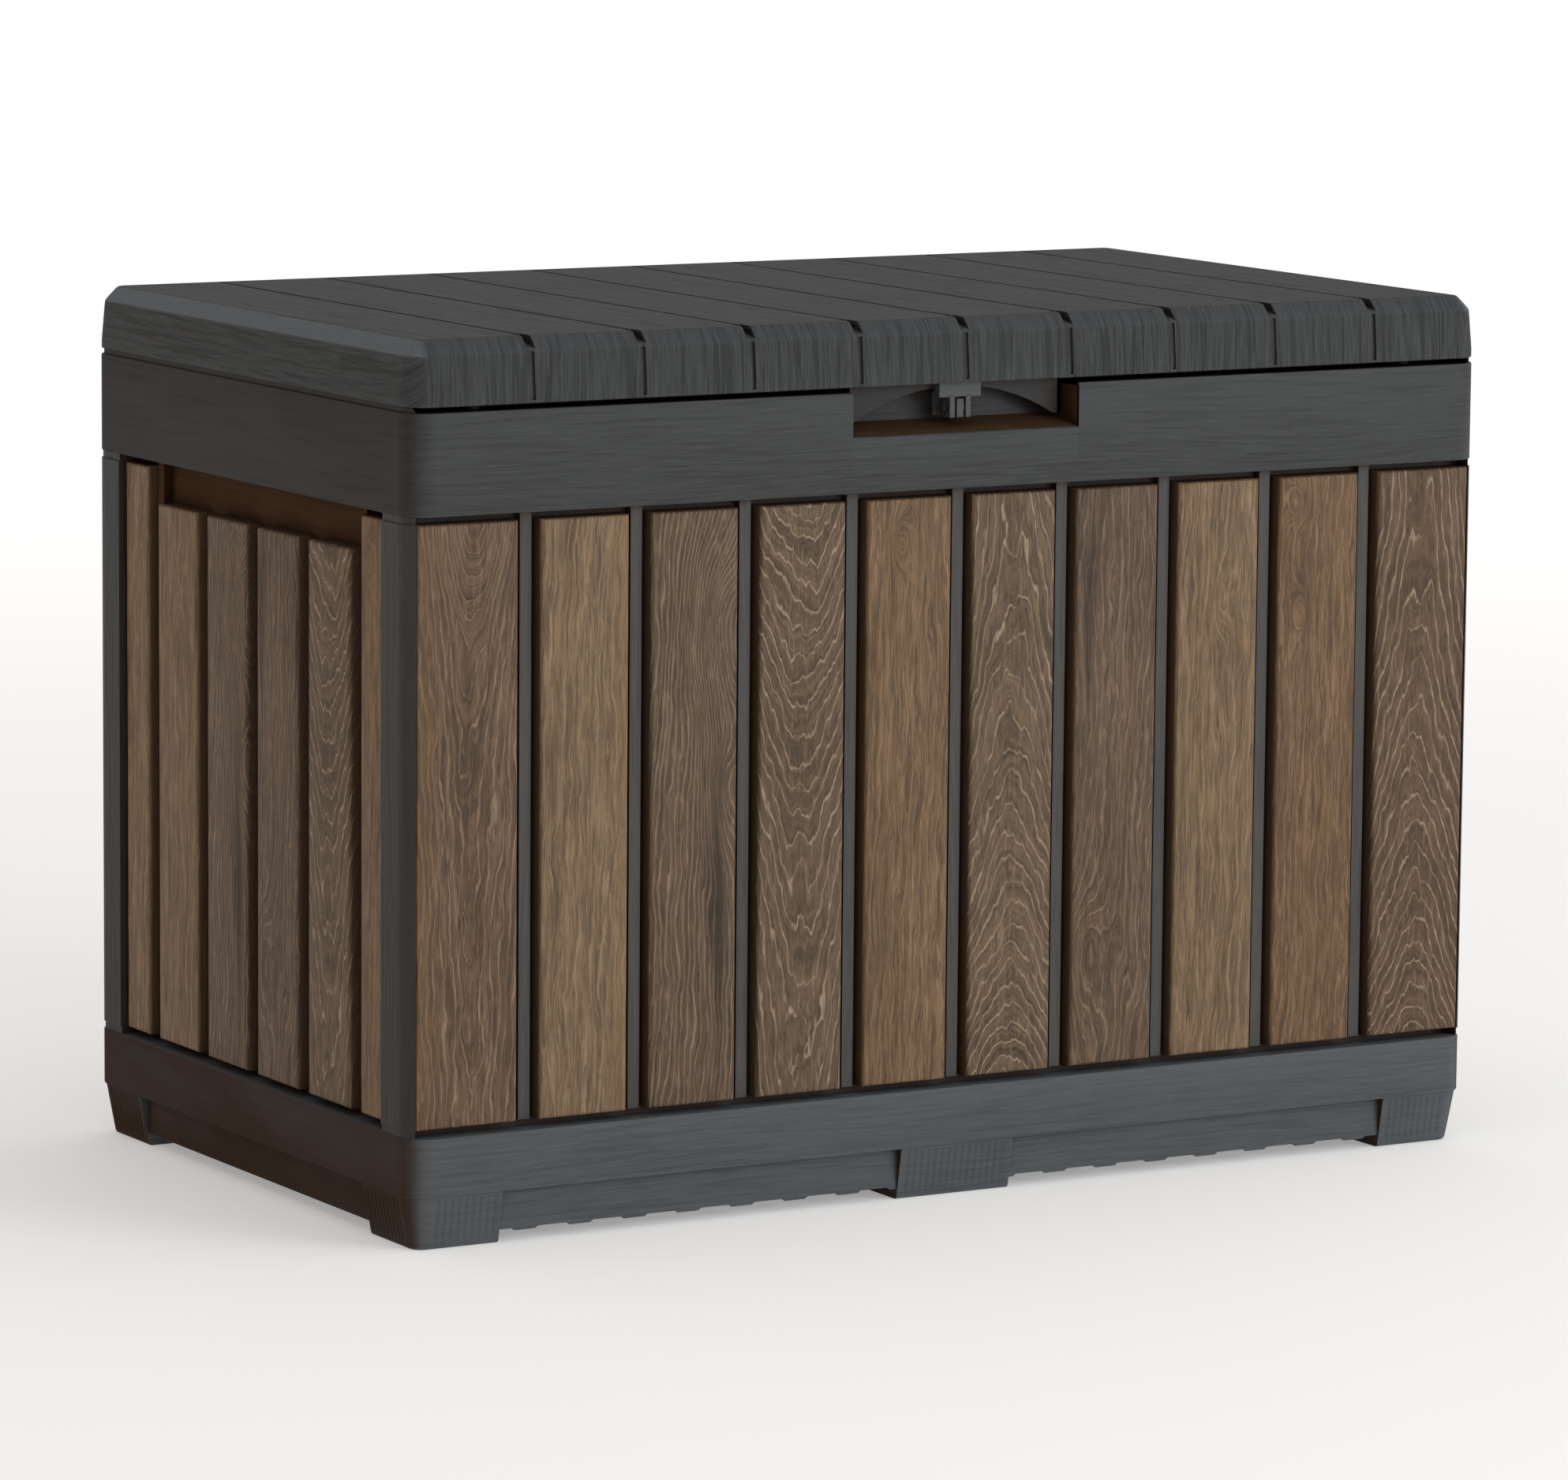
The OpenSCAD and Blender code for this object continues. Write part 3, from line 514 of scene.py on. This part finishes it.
def build_lid():
    """Lid shell: a skirt with grooves and notches for the hinge leaves, the flat top, and its inside."""
    bm = bmesh.new()
    groove_half, chute_half, tiny = 1.7 * MM, 4.0 * MM, 0.15 * MM
    front = [(-HALF_W + CORNER_R, False, False)]
    for g in GROOVES:
        front += [(g - chute_half - tiny, False, False), (g - chute_half, False, True),
                  (g - groove_half - tiny, False, True), (g - groove_half, True, True),
                  (g + groove_half, True, True), (g + groove_half + tiny, False, True),
                  (g + chute_half, False, True), (g + chute_half + tiny, False, False)]
    front.append((HALF_W - CORNER_R, False, False))
    notches = []
    for i in (1, 2, 3):
        lo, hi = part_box(f"lid_hinge_leaf_{i}")
        half = (hi.x - lo.x) / 2 + 2.5 * MM
        centre = (hi.x + lo.x) / 2
        notches.append((centre - half, centre + half))
    notch_z = LID_LOW + 7.5 * MM

    # The same stations serve the front and the back, so that the top's strips join them.
    stations = {x: (gr, ch) for x, gr, ch in front}
    for x in [x for a, b in notches for x in (a - tiny, a, b, b + tiny)]:
        if all(abs(x - s) > 1e-6 for s in stations):
            before = stations[max(s for s in stations if s <= x)]
            after = stations[min(s for s in stations if s >= x)]
            stations[x] = before if before == after else (False, False)
    xs = sorted(stations)

    def at(x, y, turn, profile):
        return [(*outline_point(inset, x, y, turn), z) for inset, z in profile]

    front_columns = [at(x, -HALF_D, None, lid_profile(*stations[x], 0)) for x in xs]
    back_columns = []
    for x in xs:
        lifted = any(a - 1e-9 <= x <= b + 1e-9 for a, b in notches)
        profile = lid_profile(stations[x][0], False, notch_z if lifted else 0)
        back_columns.append(at(x, HALF_D, None, profile))
    right_places = corner_stations(1, -1, 3)[1:] + corner_stations(1, 1, 0)[:-1]
    left_places = corner_stations(-1, 1, 1)[1:] + corner_stations(-1, -1, 2)[:-1]
    plain = lid_profile(False, False, 0)
    right, left = ([at(x, y, t, plain) for x, y, t in places] for places in (right_places, left_places))
    outer = loft(bm, front_columns + right + back_columns[::-1] + left, closed_section=False)
    n = len(xs)
    front_top = [outer[i][-1] for i in range(n)]
    back_top = [outer[n + len(right) + n - 1 - i][-1] for i in range(n)]
    right_top = [outer[n + i][-1] for i in range(len(right))]
    left_top = [outer[2 * n + len(right) + i][-1] for i in range(len(left))]

    # Rows of the flat top, front to back; the chutes run out over the first few.
    rows = [(22 * MM, 6.0 * MM), (28 * MM, 5.2 * MM), (31 * MM, 2.6 * MM), (33 * MM, GROOVE_DEPTH)]
    grid = []
    for i, x in enumerate(xs):
        groove, chute = stations[x]
        column = [front_top[i]]
        for inset, fall in rows:
            depth = 0.0
            if groove:
                depth = max(GROOVE_DEPTH, fall)
            elif chute and fall > GROOVE_DEPTH:
                depth = fall
            column.append(bm.verts.new((x, -HALF_D + inset, LID_TOP - depth)))
        column.append(bm.verts.new((x, HALF_D - 20 * MM, LID_TOP - (GROOVE_DEPTH if groove else 0))))
        column.append(back_top[i])
        grid.append(column)
    for a, b in zip(grid, grid[1:]):
        for j in range(len(a) - 1):
            bm.faces.new([a[j], b[j], b[j + 1], a[j + 1]])
    bm.faces.new(grid[-1] + right_top[::-1])
    bm.faces.new(grid[0][::-1] + left_top[::-1])

    # Inner walls and ceiling, joined to the lower edge.
    ceiling = LID_TOP - 18 * MM
    columns = []
    order = [(x, -HALF_D, None) for x in xs] + right_places
    order += [(x, HALF_D, None) for x in xs[::-1]] + left_places
    for (x, y, t), ring in zip(order, outer):
        a = outline_point(3 * MM, x, y, t)
        b = outline_point(7 * MM, x, y, t)
        columns.append([(*a, ring[0].co.z), (*b, ceiling)])
    inner = loft(bm, columns, closed_section=False)
    count = len(outer)
    for i in range(count):
        j = (i + 1) % count
        bm.faces.new([outer[i][0], inner[i][0], inner[j][0], outer[j][0]])
    bm.faces.new([ring[1] for ring in inner])

    def grain(co, normal, centre):
        plank = math.floor(centre.x / PITCH) * 0.37
        if abs(normal.x) > max(abs(normal.y), abs(normal.z) * 0.9) or abs(centre.x) > HALF_W - 16 * MM:
            return (co.z + (abs(co.x) - HALF_W) * 0.7, co.y, 0.9)
        if abs(normal.z) > 0.98:
            return (co.x, co.y, plank)
        drop = LID_TOP - co.z
        return (co.x, co.y - drop if centre.y < 0 else co.y + drop, plank)

    return finish_piece("lid_top", bm, "lid", lid_resin, ["lid_shell"], grain=grain)


# ---- Rim ----

def build_rims():
    """The front bar with the finger recess, and the two end bars, all with softened edges."""
    c = 1.2 * MM
    wall = 3 * MM
    deep = 35 * MM
    ledge = 22.9 * MM
    inner_low = RIM_LOW + 17 * MM

    def section(bead=0.02 * MM):
        """Closed section of a bar as (inset, z), with a bead of the given height on top."""
        return [(c, RIM_LOW), (0.3 * c, RIM_LOW + 0.3 * c), (0, RIM_LOW + c),
                (0, RIM_TOP - c), (0.3 * c, RIM_TOP - 0.3 * c), (c, RIM_TOP),
                (2.35 * MM, RIM_TOP), (2.4 * MM, RIM_TOP + bead),
                (4.5 * MM, RIM_TOP + bead), (4.55 * MM, RIM_TOP),
                (deep, RIM_TOP), (deep, inner_low), (deep - wall, inner_low), (deep - wall, RIM_TOP - wall),
                (wall, RIM_TOP - wall), (wall, RIM_LOW + wall), (ledge, RIM_LOW + wall),
                (ledge, RIM_LOW)]

    def at(x, y, turn, profile):
        return [(*outline_point(inset, x, y, turn), z) for inset, z in profile]

    bead_h = LID_LOW - 0.4 * MM - RIM_TOP
    scoop_z = RIM_TOP - 38.5 * MM
    rise = 9 * MM
    back = 38 * MM

    # Front bar: two plain lengths with the corners, and the recess between them.
    bm = bmesh.new()
    for sign in (-1, 1):
        arc = corner_stations(sign, -1, 3 if sign > 0 else 2)
        if sign < 0:
            arc = arc[::-1]
        columns = [at(sign * x, -HALF_D, None, section())
                   for x in (SCOOP_HALF, HALF_W - CORNER_R - 3 * MM)]
        columns += [at(x, y, t, section(bead_h) if i > ARC // 2 else section())
                    for i, (x, y, t) in enumerate(arc)]
        columns.append(at(sign * HALF_W, -HALF_D + CORNER_R + 3 * MM, None, section(bead_h)))
        columns.append(at(sign * HALF_W, -HALF_D + RIM_JOINT, None, section(bead_h)))
        if sign < 0:
            columns.reverse()
        loft(bm, columns, closed_loop=False, caps=True)
        # The recess's end wall
        plate = [(0.9 * MM, scoop_z), (back + wall, scoop_z + rise - wall),
                 (back + wall, RIM_TOP - 0.05 * MM), (wall, RIM_TOP - 0.05 * MM),
                 (wall, RIM_TOP - wall), (0.9 * MM, RIM_TOP - wall)]
        loft(bm, [at(sign * x, -HALF_D, None, plate) for x in (SCOOP_HALF, SCOOP_HALF + wall)],
             closed_loop=False, caps=True)
    trough = [(c, RIM_LOW), (0.3 * c, RIM_LOW + 0.3 * c), (0, RIM_LOW + c),
              (0, scoop_z - 1.2 * MM), (0.4 * MM, scoop_z - 0.3 * MM), (1.3 * MM, scoop_z + 0.3 * MM),
              (back - 3 * MM, scoop_z + rise - 0.4 * MM), (back - 0.8 * MM, scoop_z + rise + 0.6 * MM),
              (back, scoop_z + rise + 3 * MM), (back, RIM_TOP - 0.6 * MM), (back + 0.6 * MM, RIM_TOP),
              (back + wall, RIM_TOP), (back + wall, scoop_z + rise - 3 * MM), (wall, scoop_z - 3 * MM),
              (wall, RIM_LOW + wall), (ledge, RIM_LOW + wall), (ledge, RIM_LOW)]
    loft(bm, [at(x, -HALF_D, None, trough) for x in (-SCOOP_HALF, SCOOP_HALF)],
         closed_loop=False, caps=True)
    rim = finish_piece("rim_front", bm, "box", rim_resin, ["front_rim"], grain=band_grain)
    # Painted shade: the recess floor and side walls take the dark brown; the back wall keeps the rim's
    # resin
    rim.data.materials.append(recess_painted_shade)
    for face in rim.data.polygons:
        inside = abs(face.center.x) < SCOOP_HALF + 1 * MM and face.center.z > scoop_z
        inside = inside and -HALF_D + 1.3 * MM < face.center.y < -HALF_D + back
        if inside and (face.normal.z > 0.5 or abs(face.normal.x) > 0.9):
            face.material_index = 1

    # End bars, which run round the back corners to the back bar's mitres.
    for name, sign in (("left_rim", -1), ("right_rim", 1)):
        bm = bmesh.new()
        if sign > 0:
            arc = corner_stations(1, 1, 0)[:ARC // 2 + 1]
        else:
            arc = corner_stations(-1, 1, 1)[ARC // 2:][::-1]
        columns = [at(sign * HALF_W, y, None, section(bead_h))
                   for y in (-HALF_D + RIM_JOINT, HALF_D - CORNER_R)]
        columns += [at(x, y, t, section(bead_h)) for x, y, t in arc]
        loft(bm, columns if sign > 0 else columns[::-1], closed_loop=False, caps=True)
        finish_piece(f"{name}_bar", bm, "box", rim_resin, [name], grain=band_grain)


# ---- Base ----

def foot_loop(bm, outline, levels):
    """Lofts a closed plan outline, given as a function of the inset, through (z, inset, flute) levels."""
    plans = [outline(inset, flute) for _, inset, flute in levels]
    columns = [[(*plan[i], z) for plan, (z, _, _) in zip(plans, levels)] for i in range(len(plans[0]))]
    rings = loft(bm, columns, closed_section=False)
    bm.faces.new([ring[0] for ring in rings])
    bm.faces.new([ring[-1] for ring in rings][::-1])


def build_base():
    """Band, skirt, shelf and upstand all round, and tapered, fluted feet, closed underneath.

    The skirt's lower edge has low nubs at the front and back, one under each plank and each gap.
    """
    c = 1.4 * MM
    wall = 3 * MM
    ledge = 22.5 * MM
    skirt_in, skirt_low = 10 * MM, 11 * MM
    corner_reach, middle_half, depth = 90 * MM, 57 * MM, 60 * MM
    nub_step = PITCH / 2

    def ring_of(profile_at):
        places = []
        for sx, sy, start in ((1, -1, 3), (1, 1, 0), (-1, 1, 1), (-1, -1, 2)):
            places += [(x, y, t, None) for x, y, t in corner_stations(sx, sy, start)]
            # The straight stretch that follows this corner, walked anticlockwise.
            limit = (HALF_D if start in (3, 1) else HALF_W) - CORNER_R
            count = int(limit / nub_step)
            stops = [(k * nub_step + d * MM, n) for k in range(-count, count + 1)
                     for d, n in ((-13, 0), (-10, 1), (10, 1), (13, 0))]
            for s, n in stops if start in (3, 2) else stops[::-1]:
                if abs(s) < limit:
                    place = {3: (HALF_W, s), 0: (s, HALF_D), 1: (-HALF_W, s), 2: (s, -HALF_D)}[start]
                    places.append((*place, None, n if start in (0, 2) else 0))
        return [[(*outline_point(inset, x, y, t), z) for inset, z in profile_at(n)]
                for x, y, t, n in places]

    bm = bmesh.new()
    low = FOOT_TOP + 1 * MM
    band = [(c, low), (0.3 * c, low + 0.3 * c), (0, low + c),
            (0, BAND_TOP - c), (0.3 * c, BAND_TOP - 0.3 * c), (c, BAND_TOP),
            (ledge, BAND_TOP), (ledge, BAND_TOP - wall), (wall, BAND_TOP - wall), (wall, low)]
    loft(bm, ring_of(lambda n: band))

    def skirt(n):
        edge = skirt_low - (2.0 * MM if n else 0)
        return [(skirt_in, FLOOR_Z - wall), (skirt_in, edge + 0.8 * MM), (skirt_in + 0.8 * MM, edge),
                (skirt_in + wall - 0.5 * MM, edge), (skirt_in + wall, edge + 0.5 * MM),
                (skirt_in + wall, FLOOR_Z - wall)]

    loft(bm, ring_of(skirt))
    shelf = [(2 * MM, FLOOR_Z - wall), (2 * MM, FLOOR_Z), (60 * MM, FLOOR_Z), (60 * MM, FLOOR_Z - wall)]
    loft(bm, ring_of(lambda n: shelf))
    upstand = [(32 * MM, FLOOR_Z - 1 * MM), (32 * MM, FLOOR_Z + 20 * MM), (35 * MM, FLOOR_Z + 20 * MM),
               (35 * MM, FLOOR_Z - 1 * MM)]
    loft(bm, ring_of(lambda n: upstand))

    def fluted(start, stop, step=6.8 * MM):
        """Places along a foot's face with how far each is sunk, 0 to 1."""
        count = int(abs(stop - start) / step)
        sign = 1 if stop > start else -1
        places = []
        for k in range(count):
            at = start + sign * (k + 0.5) * step
            places += [(at + sign * d * MM, n) for d, n in ((-2.2, 0), (-1.4, 1), (1.4, 1), (2.2, 0))]
        return places

    def corner_outline(sx, sy):
        def outline(inset, flute):
            r = CORNER_R
            points = [(corner_reach, inset)]
            points += [(u, inset + n * flute) for u, n in fluted(corner_reach - 4 * MM, r + 1 * MM)]
            for i in range(ARC + 1):
                a = i / ARC * math.pi / 2
                points.append((r - (r - inset) * math.sin(a), r - (r - inset) * math.cos(a)))
            points += [(inset + n * flute, v) for v, n in fluted(r + 1 * MM, corner_reach - 4 * MM)]
            points += [(inset, corner_reach), (corner_reach - 3 * MM, corner_reach),
                       (corner_reach, corner_reach - 3 * MM)]
            made = [(sx * (HALF_W - u), sy * (HALF_D - v)) for u, v in points]
            return made if sx * sy > 0 else made[::-1]
        return outline

    def middle_outline(sy):
        def outline(inset, flute):
            points = [(-middle_half, inset)]
            points += [(u, inset + n * flute)
                       for u, n in fluted(-middle_half + 4 * MM, middle_half - 4 * MM)]
            points += [(middle_half, inset), (middle_half, depth - 3 * MM), (middle_half - 3 * MM, depth),
                       (3 * MM - middle_half, depth), (-middle_half, depth - 3 * MM)]
            made = [(u, sy * (HALF_D - v)) for u, v in points]
            return made if sy < 0 else made[::-1]
        return outline

    flute = 0.7 * MM
    levels = [(0, 12.5 * MM, 0), (0.8 * MM, 10.9 * MM, 0), (2.4 * MM, 9.9 * MM, 0), (7 * MM, 9.0 * MM, 0),
              (9 * MM, 8.6 * MM, flute), (43 * MM, 2.4 * MM, flute), (44 * MM, 2.2 * MM, 0),
              (FOOT_TOP + 3 * MM, 2.0 * MM, 0)]
    for sx in (-1, 1):
        for sy in (-1, 1):
            foot_loop(bm, corner_outline(sx, sy), levels)
    for sy in (-1, 1):
        foot_loop(bm, middle_outline(sy), levels)
    finish_piece("base_frame_tub", bm, "box", base_resin, ["base_frame"], grain=band_grain)


build_lid()
build_rims()
build_base()


# ---- Planks ----

def plank_mesh(bm, u0, u1, z0, z1, place):
    """Plank with rounded front edges in wall coordinates: u along the wall, inset inwards."""
    r = PLANK_ROUND
    steps = 4

    def ring(d, inset):
        left, right, low, high = u0 + d, u1 - d, z0 + d, z1 - d
        return [(left, inset, low), (right, inset, low), (right, inset, high), (left, inset, high)]

    layers = [ring(0, PLANK_BACK), ring(0, PLANK_FRONT + r)]
    for i in range(1, steps + 1):
        a = i / steps * math.pi / 2
        layers.append(ring(r * (1 - math.cos(a)), PLANK_FRONT + r * (1 - math.sin(a))))
    vert_rings = [[bm.verts.new(place(*p)) for p in layer] for layer in layers]
    for a, b in zip(vert_rings, vert_rings[1:]):
        for j in range(4):
            k = (j + 1) % 4
            bm.faces.new([a[j], a[k], b[k], b[j]])
    bm.faces.new(vert_rings[-1])
    bm.faces.new(list(reversed(vert_rings[0])))


def build_plank(name, wall, u0, u1, z0, z1, material, stands_for):
    """wall is front, back, left or right; u runs along it, seen from outside from left to right."""
    def place(u, inset, z):
        return {"front": (u, -HALF_D + inset, z), "back": (-u, HALF_D - inset, z),
                "left": (-HALF_W + inset, -u, z), "right": (HALF_W - inset, u, z)}[wall]

    def unplace(co):
        return {"front": (co.x, co.y + HALF_D), "back": (-co.x, HALF_D - co.y),
                "left": (-co.y, co.x + HALF_W), "right": (co.y, HALF_W - co.x)}[wall]

    bm = bmesh.new()
    plank_mesh(bm, u0, u1, z0, z1, place)
    middle = (u0 + u1) / 2

    def grain(co, normal, centre):
        u, inset = unplace(co)
        depth = inset - PLANK_FRONT
        return (u - middle + math.copysign(depth, u - middle), co.z - z0, depth)

    return finish_piece(name, bm, "box", material, stands_for, grain=grain)


for i in range(1, PLANKS + 1):
    lo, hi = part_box(f"front_plank_{i}")
    build_plank(f"front_plank_{i}_oak", "front", lo.x, hi.x, lo.z, hi.z, WOODS[i], [f"front_plank_{i}"])
END_WOODS = {1: 2, 2: 8, 3: 3, 4: 7, 5: 4, 6: 5}
END_PLANKS = len(END_WOODS)
for i in range(1, END_PLANKS + 1):
    lo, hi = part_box(f"left_plank_{i}")
    build_plank(f"left_plank_{i}_oak", "left", -hi.y, -lo.y, lo.z, hi.z, WOODS[END_WOODS[i]],
                [f"left_plank_{i}"])
    lo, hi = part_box(f"right_plank_{i}")
    build_plank(f"right_plank_{i}_oak", "right", lo.y, hi.y, lo.z, hi.z,
                WOODS[END_WOODS[END_PLANKS + 1 - i]], [f"right_plank_{i}"])
for i in range(1, PLANKS + 1):
    lo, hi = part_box(f"front_plank_{i}")
    # The back's prints come in another order; its first plank stands for the CAD's whole row.
    made = build_plank(f"back_plank_{i}_oak", "back", lo.x, hi.x, lo.z, hi.z,
                       WOODS[(i + 4) % PLANKS + 1], [])
    if i == 1:
        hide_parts("back_planks")


# ---- CAD nodes that stay ----

def dress(names, material, bevel=0.0):
    """Gives CAD nodes their material and, where bevel is set, edges softened by that much."""
    for name in names:
        node = nodes[name]
        node.data.materials.clear()
        node.data.materials.append(material)
        if bevel:
            weld = node.modifiers.new("weld", "WELD")
            weld.merge_threshold = 1e-5
            soften = node.modifiers.new("soften", "BEVEL")
            soften.width = bevel
            soften.segments = 2
            soften.limit_method = "ANGLE"
            soften.angle_limit = math.radians(40)


dress(["front_panel", "back_panel"], panel_resin)
# The ends' panels and grip plates take the painted shade brown
dress(["left_panel", "right_panel", "left_grip_plate", "right_grip_plate"], end_panel_shade)
dress(["front_left_post", "front_right_post", "back_left_post", "back_right_post"], post_resin)
dress(["back_rim"], inner_resin, bevel=0.8 * MM)
dress(["floor_panel", "lid_liner"], inner_resin)
dress(["lock_eye", "lock_hasp"], lock_resin, bevel=0.6 * MM)
for i in (1, 2, 3):
    dress([f"box_hinge_leaf_{i}", f"lid_hinge_leaf_{i}", f"hinge_pin_{i}"], zinc)
dress(["box_hinge_screws", "lid_hinge_screws", "hasp_screws"], zinc)
dress(["lid_buffers"], rubber)


# ---- Floor, light and camera ----

def build_stage():
    """Floor and studio all round."""
    bm = bmesh.new()
    bmesh.ops.create_grid(bm, x_segments=1, y_segments=1, size=30)
    mesh = bpy.data.meshes.new("floor")
    bm.to_mesh(mesh)
    bm.free()
    # White floor; it glows a little, more so far from the box, so that it stays white out there.
    mat, tree, bsdf = new_material("pale_floor")
    away = add(tree, "ShaderNodeVectorMath", add(tree, "ShaderNodeNewGeometry"), operation="LENGTH", out=1)
    tree.links.new(remap(tree, away, 1.0, 6.0, 0.30, 0.55, smooth=True), bsdf.inputs["Emission Strength"])
    bsdf.inputs["Emission Color"].default_value = (1, 1, 1, 1)
    bsdf.inputs["Base Color"].default_value = (0.93, 0.93, 0.93, 1)
    bsdf.inputs["Roughness"].default_value = 0.9
    bsdf.inputs["Specular IOR Level"].default_value = 0.1
    mesh.materials.append(mat)
    floor = bpy.data.objects.new("floor", mesh)
    bpy.context.scene.collection.objects.link(floor)

    # Bright studio all round, with a dimmer, warmer wall on the left.
    world = bpy.data.worlds.new("studio")
    world.use_nodes = True
    tree = world.node_tree
    part = tree.nodes.new("ShaderNodeSeparateXYZ")
    tree.links.new(add(tree, "ShaderNodeTexCoord"), part.inputs[0])
    bright = remap(tree, part.outputs[0], -0.8, 0.25, smooth=True)
    sky = mix(tree, bright, (0.72, 0.61, 0.52), (1.0, 0.99, 0.975))
    high = remap(tree, part.outputs[2], 0.15, 0.9, 0.0, 0.45, smooth=True)
    tree.links.new(mix(tree, high, sky, (0.45, 0.45, 0.45)), tree.nodes["Background"].inputs["Color"])
    tree.nodes["Background"].inputs["Strength"].default_value = 0.68
    bpy.context.scene.world = world


def area_light(name, place, target, size, power, colour):
    """Rectangular lamp at a place, turned towards a target."""
    data = bpy.data.lights.new(name, "AREA")
    data.shape = "RECTANGLE"
    data.size, data.size_y = size
    data.energy = power
    data.color = colour
    lamp = bpy.data.objects.new(name, data)
    lamp.location = place
    lamp.rotation_mode = "QUATERNION"
    lamp.rotation_quaternion = (Vector(target) - Vector(place)).to_track_quat("-Z", "Y")
    bpy.context.scene.collection.objects.link(lamp)


CAMERA_PLACE = (-3.472, -5.989, 1.358)
CAMERA_TURN = (30.1, 8.18, 0.48)
LENS = 177.8


def build_camera():
    """Long-lens camera in front of the left corner; its turn is yaw, pitch down and roll in degrees."""
    yaw, pitch, roll = (math.radians(a) for a in CAMERA_TURN)
    ahead = Vector((math.sin(yaw) * math.cos(pitch), math.cos(yaw) * math.cos(pitch), -math.sin(pitch)))
    right = Vector((math.cos(yaw), -math.sin(yaw), 0))
    up = right.cross(ahead)
    turned = right * math.cos(roll) + up * math.sin(roll)
    up = up * math.cos(roll) - right * math.sin(roll)
    data = bpy.data.cameras.new("camera")
    data.sensor_width = 36
    data.lens = LENS
    data.clip_start, data.clip_end = 0.1, 100
    cam = bpy.data.objects.new("camera", data)
    turn = Matrix((turned, up, -ahead)).transposed()
    cam.rotation_mode = "QUATERNION"
    cam.rotation_quaternion = turn.to_quaternion()
    cam.location = CAMERA_PLACE
    bpy.context.scene.collection.objects.link(cam)
    bpy.context.scene.camera = cam


build_stage()
area_light("key", (3.4, -5.0, 1.9), (0.1, -0.2, 0.3), (3.0, 2.4), 112, (0.94, 0.975, 1.0))
area_light("top", (0.6, -0.4, 4.2), (0, 0, 0.4), (3.5, 3.5), 18, (0.96, 0.98, 1.0))
build_camera()
bpy.context.scene.view_settings.view_transform = "Standard"
